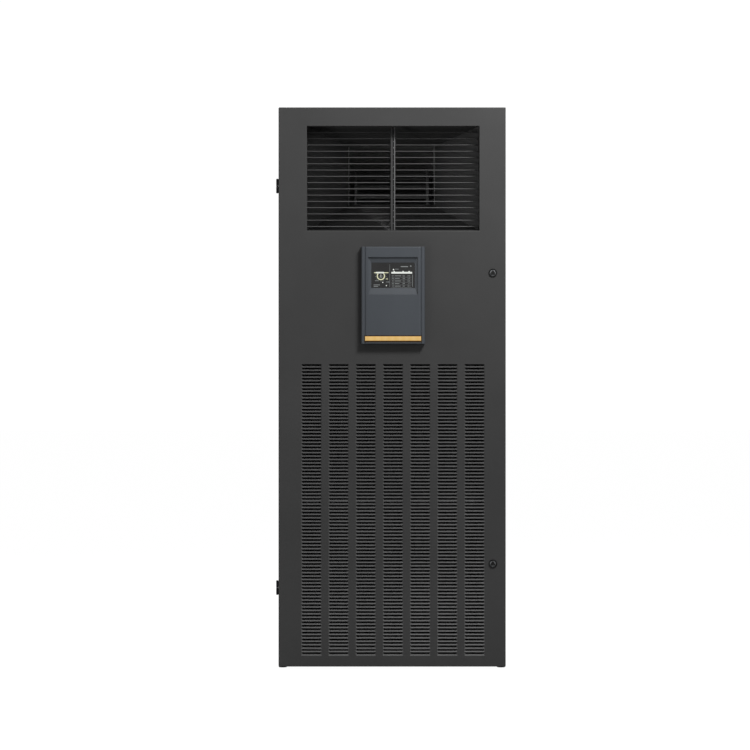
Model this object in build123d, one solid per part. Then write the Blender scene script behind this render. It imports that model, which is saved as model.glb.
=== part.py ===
from build123d import *

import math
import os

# Computer room air conditioner: an upright cabinet that draws room air in through a louvred
# door, cools it, and blows it out through a grille of turning blades near the top.
# Lengths are in millimetres. X is to the right, Y to the back and Z up. The pieces are laid out
# about the middle of the cabinet, with the front of the door at negative Y, and moved when they
# are written, so that the middle of the footprint is the origin.

# Cabinet
cabinet_width = 750.0
cabinet_depth = 560.0
cabinet_height = 1850.0
foot_height = 6.5
panel_sheet = 1.5
frame_sheet = 2.0
fit_gap = 0.3

# Base, posts and feet
base_height = 53.5
base_rail_width = 40.0
base_sheet = 3.0
post_width = 28.5
post_depth = 36.0
foot_radius = 13.5
foot_inset_y = 20.0
anchor_from_side = 75.0
anchor_radius = 7.0
panel_flange = 16.0
post_corner = 20.0
rim_gap = 1.0
service_window = 44.0
base_panel_sheet = 2.0
cable_entry_radius = 25.0
cable_entry_from_side = 125.0
cable_entry_from_rear = 85.0

# Door
door_depth = 30.0
hinge_side_gap = 1.5
lock_side_gap = 0.5
door_top_gap = 1.0
door_bottom_gap = 0.5
front_off_middle = 3.3
door_sheet = 1.5
door_lip = 31.0
door_bend_radius = 2.5
seal_gap = 6.0
gasket_width = 8.5
gasket_clearance = 0.3
hinge_above_floor = 265.0
hinge_below_top = 258.0

# Lift-off hinges
knuckle_radius = 4.0
knuckle_length = 48.0
hinge_pin_radius = 2.0
hinge_pin_length = 18.0
hinge_leaf_sheet = 2.0
hinge_leaf_reach = 24.0
hinge_proud = 7.7

# Outlet window and its grille
outlet_from_side = 91.0
outlet_height = 345.0
outlet_below_top = 58.0
panel_below_grille = 38.0
window_return = 20.0
grille_depth = 36.0
grille_bar = 15.0
blade_count = 16
blade_pitch = 20.75
first_blade_height = 12.0
blade_chord = 26.0
blade_thickness = 2.4
blade_bevel = 4.0
blade_end_gap = 1.0
blade_bank_gap = 22.0
blade_tang = 4.0
tang_step = 0.2
tang_reach = 6.0
shaft_hole = 5.0
crank_reach = 11.0
crank_sheet = 2.4
crank_gap = 0.4
crank_pin = 3.0
crank_pin_length = 3.2
link_sheet = 2.4
link_depth = 10.0
post_face_left = 6.6
post_groove = 4.0
post_face_right = 4.3
post_rib_depth = 3.7
post_web = 1.6
blade_to_post = 1.4

# Return louvres
louvre_from_side = 60.0
louvre_window = 66.0
louvre_pitch_x = 89.5
louvre_below_controller = 65.0
louvre_pitch_z = 11.32
louvre_bottom = 42.0
louvre_depth = 6.0
louvre_rise = 5.5
louvre_gap = 9.0
louvre_stile = 11.0
louvre_inset = 0.5
louvre_side_lap = 1.0

# Controller on the door
controller_width = 209.0
controller_height = 320.0
controller_below_outlet = 57.0
controller_proud = 24.0
controller_inside = 18.0
controller_overlap = 5.0
controller_wall = 3.0
controller_corner = 7.0
groove_width = 2.0
groove_depth = 2.0
groove_from_edge = 12.0
recess_width = 163.0
recess_height = 121.0
recess_top = 31.5
recess_depth = 8.0
screen_width = 143.0
screen_height = 84.0
screen_below_recess = 18.0
screen_thickness = 3.0
light_bar_width = 187.0
light_bar_height = 17.0
light_bar_bottom = 9.8
light_bar_depth = 6.0
light_bar_proud = 1.0

# Cam locks
lock_from_side = 43.0
lock_above_floor = 346.0
lock_below_top = 546.0
lock_head_radius = 14.0
lock_head_proud = 3.0
lock_barrel = 18.0
lock_barrel_length = 37.0
lock_bore_radius = 5.8
lock_key_setback = 1.0
lock_nut_width = 27.0
lock_nut_height = 6.0
lock_spindle = 7.6
cam_length = 34.0
cam_width = 18.0
cam_sheet = 3.0
cam_corner = 5.0
cam_behind_post = 1.5

# Return filters
filter_side_gap = 17.0
filter_top_gap = 2.0
filter_depth = 44.0
filter_rim = 20.0
filter_setback = 16.0
filter_pleats = 12
pleat_sheet = 1.5
filter_spacing = 8.0
filter_bar = 12.0
filter_fit = 1.0

# Evaporator coil and drain pan
coil_from_side = 75.0
coil_below_heater = 156.0
coil_depth = 66.0
coil_plate = 2.0
coil_foot = 56.0
coil_rib = 3.0
coil_rib_pitch = 60.0
coil_low_y = 205.0
coil_low_z = 385.0
coil_run = 324.0
tube_radius = 6.0
bend_radius = 16.0
bend_count = 3
header_radius = 11.0
header_from_end = 135.0
header_spread = 16.0
pan_side_gap = 18.0
pan_rear_gap = 4.0
pan_bracket_inset = 20.0
drain_from_side = 60.0
drain_from_rear = 40.0
pan_depth = 150.0
pan_height = 34.0
pan_sheet = 2.0
pan_drain_radius = 12.0

# Compressor and pipes
compressor_radius = 84.0
compressor_height = 360.0
compressor_from_side = 170.0
compressor_y = -15.0
compressor_dome = 36.0
compressor_plate = 210.0
compressor_plate_sheet = 4.0
terminal_box_width = 60.0
terminal_box_height = 90.0
terminal_box_lift = 170.0
terminal_box_proud = 26.0
grommet_radius = 14.0
grommet_height = 18.0
pipe_radius = 9.0
pipe_spacing = 20.0
pipe_rise = 24.0
suction_height = 400.0
suction_y = 127.0
suction_end = 484.0
drier_radius = 22.0
drier_length = 110.0
drier_x = 20.0
drier_y = 60.0
drier_lift = 26.0

# Humidifier and reheat
humidifier_radius = 75.0
humidifier_height = 260.0
humidifier_from_side = 150.0
humidifier_y = -20.0
humidifier_base = 60.0
humidifier_neck = 15.0
humidifier_neck_height = 30.0
humidifier_foot = 8.0
heater_strips = 4
heater_strip_width = 24.0
heater_strip_pitch = 44.0
heater_above_enclosure = 98.0
heater_bracket_reach = 30.0
heater_y = 90.0
heater_bracket_sheet = 2.0
heater_bracket_height = 50.0

# Electrical enclosure
enclosure_from_side = 65.0
enclosure_height = 300.0
enclosure_depth = 120.0
enclosure_below_panel = 42.0
enclosure_setback = 20.0
enclosure_sheet = 1.5
enclosure_rail = 16.0
cover_window_height = 46.0
cover_window_side = 4.0
cover_gap = 12.0
breaker_from_edge = 50.0
breaker_gap = 0.5
toggle_reach = 7.0
toggle_lever = 9.0
breaker_count = 8
breaker_width = 17.5
breaker_height = 80.0
breaker_depth = 60.0
toggle_height = 20.0
contactor_count = 3
contactor_width = 54.0
contactor_height = 76.0
contactor_depth = 70.0
contactor_first = -60.0
contactor_spacing = 8.0
contactor_lift = 30.0
contactor_step = 10.0
knob_from_edge = 75.0
knob_hole = 16.0
switch_body = 60.0
switch_depth = 70.0
knob_radius = 24.0
knob_grip = 9.0
knob_base_height = 6.0
knob_grip_height = 16.0
knob_spindle = 6.0
knob_clearance = 1.0
knob_bore = 4.6

# Blower
blower_y = 75.0
blower_above_outlet = 98.0
wheel_radius = 126.0
wheel_inner_radius = 104.0
wheel_side_gap = 20.0
wheel_blades = 20
wheel_edge = 2.0
wheel_blade_sheet = 1.6
wheel_rim = 8.0
wheel_disc = 4.0
ring_lap = 1.0
shaft_radius = 8.0
hub_radius = 22.0
hub_width = 44.0
housing_from_side = 230.0
housing_sheet = 2.0
scroll_step = 18.0
scroll_first_radius = 145.0
inlet_radius = 100.0
outlet_reach = 28.0
housing_foot_length = 180.0
housing_foot_width = 24.0
housing_foot_overlap = 5.0
blower_rail_gap = 10.0
blower_rail_height = 30.0
blower_rail_width = 40.0
blower_rail_y = (0.0, 150.0)
bearing_radius = 20.0
bearing_width = 22.0
bearing_bar = 34.0
motor_radius = 66.0
motor_length = 118.0
motor_gap = 24.0
motor_foot = 110.0
motor_foot_inset = 12.0
motor_foot_height = 20.0
motor_stand_sheet = 3.0
shaft_in_motor = 14.0
duct_sheet = 1.5
duct_gap = 2.0

# Places worked out from the sizes above
side = cabinet_width / 2
door_front = -cabinet_depth / 2
rear = cabinet_depth / 2
door_left = hinge_side_gap - side
door_right = side - lock_side_gap
door_x = front_off_middle
door_bottom = foot_height + door_bottom_gap
door_top = cabinet_height - door_top_gap
door_back = door_front + door_depth
frame_front = door_back + seal_gap
frame_back = rear - panel_sheet
frame_side = side - panel_sheet
base_top = foot_height + base_height
frame_top = cabinet_height - panel_sheet
post_inner = frame_side - post_width
outlet_bottom = cabinet_height - outlet_below_top - outlet_height
outlet_top = outlet_bottom + outlet_height
outlet_width = cabinet_width - 2 * outlet_from_side
outlet_left = door_x - outlet_width / 2
outlet_right = door_x + outlet_width / 2
blade_y = frame_front + post_rib_depth + post_web + blade_to_post + blade_chord / 2 + 4.4
controller_bottom = outlet_bottom - controller_below_outlet - controller_height
louvre_columns = int((cabinet_width - 2 * louvre_from_side) // louvre_pitch_x)
louvre_rows = int((controller_bottom - louvre_below_controller - louvre_bottom) // louvre_pitch_z)
louvre_top = louvre_bottom + louvre_rows * louvre_pitch_z
controller_front = door_front - controller_proud
controller_top = controller_bottom + controller_height
hinge_x = -side - hinge_proud + knuckle_radius
hinge_y = (door_back + frame_front) / 2
hinge_heights = (hinge_above_floor, cabinet_height - hinge_below_top)
lock_x = side - lock_from_side
lock_heights = (lock_above_floor, cabinet_height - lock_below_top)
anchor_spacing_x = cabinet_width - 2 * anchor_from_side
cable_entry_x = cable_entry_from_side - side
cable_entry_y = rear - cable_entry_from_rear
grille_y = frame_front + panel_sheet
cam_y = frame_front + frame_sheet + cam_behind_post
filter_y = frame_front + filter_setback
upper_panel_bottom = outlet_bottom - grille_bar - panel_below_grille
enclosure_width = cabinet_width - 2 * enclosure_from_side
enclosure_bottom = upper_panel_bottom - enclosure_below_panel - enclosure_height
filter_width = 2 * (post_inner - filter_side_gap)
filter_low = base_top + base_panel_sheet
filter_high = enclosure_bottom - enclosure_rail - filter_top_gap - frame_sheet
filter_height = (filter_high - filter_low - filter_spacing - 2 * filter_fit) / 2
heater_height = enclosure_bottom + heater_above_enclosure
coil_width = cabinet_width - 2 * coil_from_side
coil_rise = heater_height - coil_below_heater - coil_low_z
coil_length = math.hypot(coil_rise, coil_run)
coil_tilt = math.degrees(math.atan2(coil_run, coil_rise))
header_length = coil_length - 2 * header_from_end
pan_width = coil_width + 2 * pan_side_gap
compressor_x = compressor_from_side - side
humidifier_x = side - humidifier_from_side
suction_x = -coil_width / 2 - coil_plate - header_radius
pipe_x = suction_x - pipe_spacing
housing_width = cabinet_width - 2 * housing_from_side
wheel_width = housing_width - 2 * wheel_side_gap
blower_z = outlet_bottom + blower_above_outlet
blower_rail_top = blower_z - scroll_first_radius - scroll_step / 2 - blower_rail_gap
outlet_plane = blower_y - scroll_first_radius - outlet_reach

# The middle of the footprint of the whole object, hinges and controller included
to_origin = Pos(hinge_proud / 2, controller_proud / 2, 0)


def block(x0, x1, y0, y1, z0, z1):
    """A plain box between two opposite corners."""
    corner = Pos(min(x0, x1), min(y0, y1), min(z0, z1))
    low = (Align.MIN, Align.MIN, Align.MIN)
    return corner * Box(abs(x1 - x0), abs(y1 - y0), abs(z1 - z0), align=low)


def rod_x(x0, x1, y, z, radius):
    """A round bar along X."""
    return Pos((x0 + x1) / 2, y, z) * Rot(0, 90, 0) * Cylinder(radius, abs(x1 - x0))


def rod_y(x, y0, y1, z, radius):
    """A round bar along Y."""
    return Pos(x, (y0 + y1) / 2, z) * Rot(90, 0, 0) * Cylinder(radius, abs(y1 - y0))


def rod_z(x, y, z0, z1, radius):
    """A round bar along Z."""
    return Pos(x, y, (z0 + z1) / 2) * Cylinder(radius, abs(z1 - z0))


def slice_x(points, x0, x1):
    """A flat outline of Y and Z points, carried from one X to the other."""
    outline = Plane.YZ * make_face(Polyline(*points, close=True))
    return Pos(min(x0, x1), 0, 0) * extrude(outline, abs(x1 - x0), dir=(1, 0, 0))


def slice_z(points, z0, z1):
    """A flat outline of X and Y points, carried from one height to the other."""
    outline = make_face(Polyline(*points, close=True))
    return Pos(0, 0, min(z0, z1)) * extrude(outline, abs(z1 - z0), dir=(0, 0, 1))


def save(node, *pieces):
    """Write the solids of one sub-part, moved to the origin of the whole object."""
    solids = [to_origin * solid for piece in pieces for solid in piece.solids()]
    whole = solids[0] if len(solids) == 1 else Compound(children=solids)
    export_step(whole, f"parts/{node}.step")


# Cabinet

def make_base_rail_front():
    """Front channel of the base, open to the inside, with its anchor holes."""
    y0 = frame_front
    y1 = frame_front + base_rail_width
    t = base_sheet
    rail = block(-frame_side, frame_side, y0, y1, foot_height, base_top)
    rail -= block(-frame_side, frame_side, y0 + t, y1, foot_height + t, base_top - t)
    for sign in (-1, 1):
        x = sign * anchor_spacing_x / 2
        rail -= rod_z(x, y0 + base_rail_width / 2, foot_height - 1, foot_height + t + 1, anchor_radius)
    return rail


def make_base_frame():
    """Welded base: two channels across and two between them."""
    front = make_base_rail_front()
    back = Pos(0, frame_front + frame_back, 0) * Rot(0, 0, 180) * front
    y0 = frame_front + base_rail_width
    y1 = frame_back - base_rail_width
    rails = [front, back]
    for sign in (-1, 1):
        rail = block(sign * (frame_side - base_rail_width), sign * frame_side, y0, y1, foot_height, base_top)
        hollow_out = sign * (frame_side - base_sheet)
        low = foot_height + base_sheet
        rail -= block(sign * (frame_side - base_rail_width), hollow_out, y0, y1, low, base_top - base_sheet)
        rails.append(rail)
    return rails


def make_floor_pads():
    """Four eight-sided levelling feet under the corners of the base."""
    pads = []
    for sign in (-1, 1):
        for y in (frame_front + foot_inset_y, frame_back - foot_inset_y):
            place = Plane((sign * (side - foot_radius), y, 0)) * Rot(0, 0, 22.5)
            pad = RegularPolygon(foot_radius, 8, major_radius=False)
            pads.append(extrude(place * pad, foot_height))
    return pads


def make_base_panel():
    """Floor sheet with the cable entry."""
    y0 = frame_front + panel_sheet
    top = base_top + base_panel_sheet
    panel = block(-post_inner, post_inner, y0, frame_back - panel_sheet, base_top, top)
    return panel - rod_z(cable_entry_x, cable_entry_y, base_top - 1, top + 1, cable_entry_radius)


def make_post(sign, y0, y1):
    """One corner post: a folded channel, open to the middle of the cabinet."""
    post = block(sign * post_inner, sign * frame_side, y0, y1, base_top, frame_top)
    hollow_side = sign * (frame_side - frame_sheet)
    post -= block(sign * post_inner, hollow_side, y0 + frame_sheet, y1 - frame_sheet, base_top, frame_top)
    return post


def make_lock_post():
    """Front post on the right: a tube, with a strip on a spacer before it for the lock cams."""
    tube_front = cam_y + cam_sheet + cam_behind_post
    tube_back = frame_front + post_depth
    tube = block(post_inner, frame_side, tube_front, tube_back, base_top, frame_top)
    tube -= block(post_inner + frame_sheet, frame_side - frame_sheet, tube_front + frame_sheet,
                  tube_back - frame_sheet, base_top, frame_top)
    strip_back = frame_front + frame_sheet
    spacer = block(frame_side - frame_sheet, frame_side, strip_back, tube_front, base_top, frame_top)
    strip = block(post_inner, frame_side, frame_front, strip_back, base_top, frame_top)
    return [tube, spacer, strip]


def make_corner_posts():
    """The other three corner posts on the base."""
    hinge_post = make_post(-1, frame_front, frame_front + post_depth)
    y0 = frame_back - post_depth
    return [hinge_post, make_post(-1, y0, frame_back), make_post(1, y0, frame_back)]


def make_top_panel():
    """Lid with a turned-down rim inside the posts and two stiffening ribs."""
    panel = block(-side, side, frame_front, rear, frame_top, cabinet_height)
    x1 = post_inner - rim_gap
    y0 = frame_front + post_depth + rim_gap
    y1 = frame_back - post_depth - rim_gap
    rim = block(-x1, x1, y0, y1, frame_top - panel_flange, frame_top)
    inner = panel_sheet
    rim -= block(-x1 + inner, x1 - inner, y0 + inner, y1 - inner, frame_top - panel_flange, frame_top)
    panel += rim
    for y in (y0 + (y1 - y0) / 3, y0 + 2 * (y1 - y0) / 3):
        panel += block(-x1, x1, y - panel_sheet / 2, y + panel_sheet / 2, frame_top - panel_flange, frame_top)
    return panel


def make_side_panel(sign):
    """Side sheet with two pressed stiffening ribs on the inside."""
    panel = block(sign * frame_side, sign * side, frame_front, frame_back, foot_height, frame_top)
    y0 = frame_front + post_depth
    y1 = frame_back - post_depth
    for z in (cabinet_height / 3, 2 * cabinet_height / 3):
        rib = block(sign * (frame_side - panel_flange), sign * frame_side, y0, y1, z, z + panel_sheet)
        panel += rib
    return panel


def make_rear_panel():
    """Rear sheet with turned side flanges and a window for the pipe and cable connections."""
    panel = block(-side, side, frame_back, rear, foot_height, frame_top)
    for sign in (-1, 1):
        edge = sign * (post_inner - rim_gap)
        inner = sign * (post_inner - rim_gap - panel_sheet)
        panel += block(edge, inner, frame_back - panel_flange, frame_back, base_top + post_corner,
                       frame_top - 2 * post_corner)
    z = compressor_top() + pipe_rise
    half = service_window / 2
    return panel - block(pipe_x - half / 2, pipe_x - half / 2 + service_window, frame_back - 1, rear + 1,
                         z - half, z + half)


def make_upper_front_panel():
    """Sheet behind the door that carries the outlet grille in its window."""
    z0 = upper_panel_bottom
    y1 = frame_front + panel_sheet
    panel = block(-post_inner, post_inner, frame_front, y1, z0, frame_top)
    panel += block(-post_inner, post_inner, y1, frame_front + panel_flange, z0, z0 + panel_sheet)
    top_flange = frame_top - panel_sheet
    panel += block(-post_inner, post_inner, y1, frame_front + panel_flange, top_flange, frame_top)
    return panel - block(outlet_left, outlet_right, frame_front - 1, y1 + 1, outlet_bottom, outlet_top)


def make_door_gasket():
    """Four seal strips round the front of the cabinet."""
    y0 = door_back + gasket_clearance
    x_out = post_inner + gasket_width
    z_low = door_bottom + (door_lip - gasket_width) / 2
    z_high = door_top - (door_lip + gasket_width) / 2
    strips = []
    for sign in (-1, 1):
        strips.append(block(sign * post_inner, sign * x_out, y0, frame_front, z_low, z_high + gasket_width))
    for z in (z_low, z_high):
        strips.append(block(-post_inner, post_inner, y0, frame_front, z, z + gasket_width))
    return strips


# Hinges

def make_knuckle(z0, z1):
    """One half of a hinge knuckle."""
    return rod_z(hinge_x, hinge_y, z0, z1, knuckle_radius)


def make_hinge_frame_leaves():
    """Lower halves of the lift-off hinges, with the pins, on the front post."""
    leaves = []
    for height in hinge_heights:
        low = height - knuckle_length / 2
        leaf = make_knuckle(low, height - fit_gap)
        reach = hinge_x + hinge_leaf_reach
        leaf += block(hinge_x, reach, frame_front - hinge_leaf_sheet, frame_front, low + 4, height - fit_gap)
        leaf += rod_z(hinge_x, hinge_y, height - 4, height + hinge_pin_length, hinge_pin_radius)
        leaves.append(leaf)
    return leaves


def make_hinge_door_leaves():
    """Upper halves of the lift-off hinges, which drop over the pins."""
    leaves = []
    for height in hinge_heights:
        high = height + knuckle_length / 2
        leaf = make_knuckle(height, high)
        reach = hinge_x + hinge_leaf_reach
        leaf += block(hinge_x, reach, door_back, door_back + hinge_leaf_sheet, height, high - 4)
        hole_top = height + hinge_pin_length + 1.0
        leaf -= rod_z(hinge_x, hinge_y, height - 1, hole_top, hinge_pin_radius + fit_gap)
        leaves.append(leaf)
    return leaves


# Door

def outlet_window(y0, y1, grow=0.0):
    """The outlet opening as a prism, larger all round by grow."""
    x0 = outlet_left - grow
    x1 = outlet_right + grow
    return block(x0, x1, y0, y1, outlet_bottom - grow, outlet_top + grow)


def make_door_skin():
    """Folded door pan with its outlet window, controller cut-out, louvre windows and lock holes."""
    skin = block(door_left, door_right, door_front, door_back, door_bottom, door_top)
    skin = fillet(skin.edges().group_by(Axis.Y)[0].filter_by(Axis.Z), door_bend_radius)
    t = door_sheet
    skin -= block(door_left + t, door_right - t, door_front + t, door_back - t, door_bottom + t, door_top - t)
    lip = door_lip
    skin -= block(door_left + lip, door_right - lip, door_back - 2 * t, door_back + 1,
                  door_bottom + lip, door_top - lip)
    skin += outlet_window(door_front + t, door_front + window_return, t)
    skin -= outlet_window(door_front - 1, door_back)
    inset = controller_overlap
    skin -= block(door_x - controller_width / 2 + inset, door_x + controller_width / 2 - inset,
                  door_front - 1, door_front + 2 * t, controller_bottom + inset, controller_top - inset)
    for column in range(louvre_columns):
        x = door_x + (column - (louvre_columns - 1) / 2) * louvre_pitch_x
        skin -= block(x - louvre_window / 2, x + louvre_window / 2, door_front - 1, door_front + 2 * t,
                      louvre_bottom, louvre_top)
    for height in lock_heights:
        half = lock_barrel / 2 + fit_gap
        x0 = lock_x - half
        skin -= block(x0, lock_x + half, door_front - 1, door_front + 2 * t, height - half, height + half)
    return skin


def make_louvre_insert():
    """Louvre panel behind the door windows: sloped slats between two stiles."""
    y0 = door_front + door_sheet
    y1 = y0 + louvre_depth
    half = (louvre_columns - 1) / 2 * louvre_pitch_x + louvre_window / 2 + louvre_side_lap
    wide = half + louvre_stile
    low_edge = louvre_bottom + louvre_inset
    panel = block(door_x - wide, door_x + wide, y0, y1, low_edge, louvre_top - louvre_inset)
    slope = louvre_rise / louvre_depth
    gaps = []
    for row in range(louvre_rows):
        low = louvre_bottom + row * louvre_pitch_z + (louvre_pitch_z - louvre_gap)
        before = low - slope
        after = low + louvre_rise + slope
        if after + louvre_gap > louvre_top - 1.0:
            continue
        outline = [(y0 - 1, before), (y1 + 1, after)]
        outline += [(y1 + 1, after + louvre_gap), (y0 - 1, before + louvre_gap)]
        gaps.append(slice_x(outline, door_x - half, door_x + half))
    return panel - Compound(children=gaps)


def make_controller_housing():
    """Moulded controller housing: proud shell, side grooves, screen recess and light bar seat."""
    x0 = door_x - controller_width / 2
    x1 = door_x + controller_width / 2
    z0 = controller_bottom
    z1 = controller_top
    housing = block(x0, x1, controller_front, door_front, z0, z1)
    housing = fillet(housing.edges().group_by(Axis.Y)[0], controller_corner)
    inset = controller_overlap + fit_gap
    inner_back = door_front + controller_inside
    housing += block(x0 + inset, x1 - inset, door_front, inner_back, z0 + inset, z1 - inset)
    wall = inset + controller_wall
    hollow_front = controller_front + recess_depth + screen_thickness + controller_wall
    housing -= block(x0 + wall, x1 - wall, hollow_front, inner_back, z0 + wall, z1 - wall)
    for edge in (x0 + groove_from_edge, x1 - groove_from_edge - groove_width):
        housing -= block(edge, edge + groove_width, controller_front - 1, controller_front + groove_depth,
                         z0 - 1, z1 + 1)
    return housing - recess_cut() - screen_block(0.2) - light_bar_block(0.2)


def recess_cut():
    """The sloped recess round the screen."""
    recess_z = controller_top - recess_top - recess_height / 2
    screen_z = screen_centre_height()
    wide = Plane((door_x, controller_front, recess_z), x_dir=(1, 0, 0), z_dir=(0, -1, 0))
    narrow = Plane((door_x, controller_front + recess_depth, screen_z), x_dir=(1, 0, 0), z_dir=(0, -1, 0))
    mouth = wide * Rectangle(recess_width, recess_height)
    floor = narrow * Rectangle(screen_width, screen_height)
    return loft([mouth, floor])


def screen_centre_height():
    return controller_top - recess_top - screen_below_recess - screen_height / 2


def screen_block(grow):
    """The screen, or the seat that it lies in."""
    z = screen_centre_height()
    half = screen_width / 2 + grow
    tall = screen_height / 2 + grow
    y0 = controller_front + recess_depth
    return block(door_x - half, door_x + half, y0, y0 + screen_thickness, z - tall, z + tall)


def light_bar_block(grow):
    """The light bar, or the seat that it lies in."""
    half = light_bar_width / 2 + grow
    z0 = controller_bottom + light_bar_bottom
    y0 = controller_front - light_bar_proud
    return block(door_x - half, door_x + half, y0, y0 + light_bar_depth, z0 - grow,
                 z0 + light_bar_height + grow)


def make_light_bar():
    bar = light_bar_block(0)
    return chamfer(bar.edges().group_by(Axis.Y)[0], 0.8)


def make_lock_cases():
    """Two lock cases: round head, square barrel through the door, and the nut behind the sheet."""
    cases = []
    for height in lock_heights:
        head_front = door_front - lock_head_proud
        barrel_end = door_front + lock_barrel_length
        half = lock_barrel / 2
        case = rod_y(lock_x, head_front, door_front, height, lock_head_radius)
        x0 = lock_x - half
        case += block(x0, lock_x + half, door_front, barrel_end, height - half, height + half)
        nut_y = door_front + door_sheet
        hexagon = Plane((lock_x, nut_y, height), x_dir=(1, 0, 0), z_dir=(0, 1, 0))
        case += extrude(hexagon * RegularPolygon(lock_nut_width / 2, 6, major_radius=False), lock_nut_height)
        cases.append(case - rod_y(lock_x, head_front - 1, barrel_end + 1, height, lock_bore_radius))
    return cases


def make_lock_cam(height):
    """Square spindle and cam of one lock, unlocked with the cam hanging down."""
    head_front = door_front - lock_head_proud + lock_key_setback
    half = lock_spindle / 2
    cam = block(lock_x - half, lock_x + half, head_front, cam_y, height - half, height + half)
    wide = cam_width / 2
    low = height - cam_length
    cut = cam_corner
    outline = [(lock_x - wide, height + wide), (lock_x + wide, height + wide), (lock_x + wide, low + cut),
               (lock_x + wide - cut, low), (lock_x - wide + cut, low), (lock_x - wide, low + cut)]
    face = Plane((0, cam_y, 0), x_dir=(1, 0, 0), z_dir=(0, -1, 0)) * make_face(Polyline(*outline, close=True))
    return cam + extrude(face, cam_sheet, dir=(0, 1, 0))


# Outlet grille

def blade_height(index):
    return outlet_bottom + first_blade_height + index * blade_pitch


def make_grille_frame():
    """Four members behind the window; the upright ones have square shaft holes."""
    y0 = grille_y
    y1 = grille_y + grille_depth
    members = []
    t = frame_sheet
    for sign, edge in ((-1, outlet_left), (1, outlet_right)):
        outer = edge + sign * grille_bar
        z0 = outlet_bottom - grille_bar
        z1 = outlet_top + grille_bar
        member = block(edge, outer, y0, y1, z0, z1)
        member -= block(edge + sign * t, outer, y0 + t, y1 - t, z0, z1)
        half = shaft_hole / 2
        for index in range(blade_count):
            z = blade_height(index)
            member -= block(edge - sign, edge + sign * 2 * t, blade_y - half, blade_y + half, z - half,
                            z + half)
        members.append(member)
    for sign, edge in ((-1, outlet_bottom), (1, outlet_top)):
        outer = edge + sign * grille_bar
        member = block(outlet_left, outlet_right, y0, y1, edge, outer)
        member -= block(outlet_left, outlet_right, y0 + t, y1 - t, edge + sign * t, outer)
        members.append(member)
    return members


def make_grille_mullion():
    """Post in front of the gap between the two banks of blades, with a groove down its face."""
    y_web = frame_front + 4.3 + post_rib_depth
    width = post_face_left + post_groove + post_face_right
    x0 = door_x - width / 2
    post = block(x0, x0 + width, y_web, y_web + post_web, outlet_bottom, outlet_top)
    y_face = y_web - post_rib_depth
    post += block(x0, x0 + post_face_left, y_face, y_web, outlet_bottom, outlet_top)
    x1 = x0 + width
    post += block(x1 - post_face_right, x1, y_face, y_web, outlet_bottom, outlet_top)
    return post


def make_blade(index):
    """One stamped blade: two banks on flat tangs, with the crank between the banks."""
    z = blade_height(index)
    half_chord = blade_chord / 2
    half = blade_thickness / 2
    front_edge = blade_y - half_chord
    back_edge = blade_y + half_chord
    nose = half / 2
    outline = [(front_edge, z - nose), (front_edge + blade_bevel, z - half), (back_edge, z - half),
               (back_edge, z + half), (front_edge + blade_bevel, z + half), (front_edge, z + nose)]
    gap = blade_bank_gap / 2
    blade = slice_x(outline, outlet_left + blade_end_gap, door_x - gap)
    blade += slice_x(outline, door_x + gap, outlet_right - blade_end_gap)
    wide = blade_tang / 2
    thin = half - tang_step
    for x0, x1 in ((outlet_left - tang_reach, outlet_left + blade_end_gap), (door_x - gap, door_x + gap),
                   (outlet_right - blade_end_gap, outlet_right + tang_reach)):
        blade += block(x0, x1, blade_y - wide, blade_y + wide, z - thin, z + thin)
    arm_x = door_x - link_sheet / 2 - crank_gap - crank_sheet
    pin = crank_pin / 2
    pin_y = blade_y + crank_reach
    blade += block(arm_x, arm_x + crank_sheet, blade_y + wide, pin_y + pin, z - pin, z + pin)
    return blade + block(arm_x, arm_x + crank_sheet + crank_pin_length, pin_y - pin, pin_y + pin,
                         z - pin, z + pin)


def make_blade_link():
    """Bar with one notch for each crank pin, so that all the blades turn together."""
    pin_y = blade_y + crank_reach
    half = link_sheet / 2
    bar = block(door_x - half, door_x + half, pin_y - link_depth / 2, pin_y + link_depth / 2,
                blade_height(0) - 4.5, blade_height(blade_count - 1) + 4.5)
    notch = crank_pin / 2 * math.sqrt(2) + fit_gap
    for index in range(blade_count):
        z = blade_height(index)
        bar -= block(door_x - half, door_x + half, pin_y - link_depth / 2, pin_y + notch, z - notch,
                     z + notch)
    return bar


# Filters

def make_filter_frame():
    """Angle frame that the two filters stand in."""
    x_in = filter_width / 2 + filter_fit
    x_out = post_inner
    y0 = filter_y
    y_stop = filter_y + filter_depth + filter_fit
    y1 = y_stop + frame_sheet
    z0 = base_top + base_panel_sheet
    z1 = z0 + 2 * filter_height + filter_spacing + 2 * filter_fit
    members = []
    for sign in (-1, 1):
        upright = block(sign * x_in, sign * x_out, y0, y_stop, z0, z1)
        upright -= block(sign * (x_in + frame_sheet), sign * x_out, y0, y_stop, z0, z1)
        members.append(upright + block(sign * (x_in - filter_bar), sign * x_out, y_stop, y1, z0, z1))
    ledge = z0 + filter_height + filter_spacing - fit_gap
    inner = x_in - filter_bar
    middle = block(-x_in, x_in, y0, y_stop, ledge - frame_sheet, ledge)
    middle += block(-inner, inner, y_stop, y1, ledge - filter_spacing - filter_bar, ledge + filter_bar)
    members.append(middle)
    members.append(block(-x_in, x_in, y0, y_stop, z1, z1 + frame_sheet))
    return members


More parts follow.
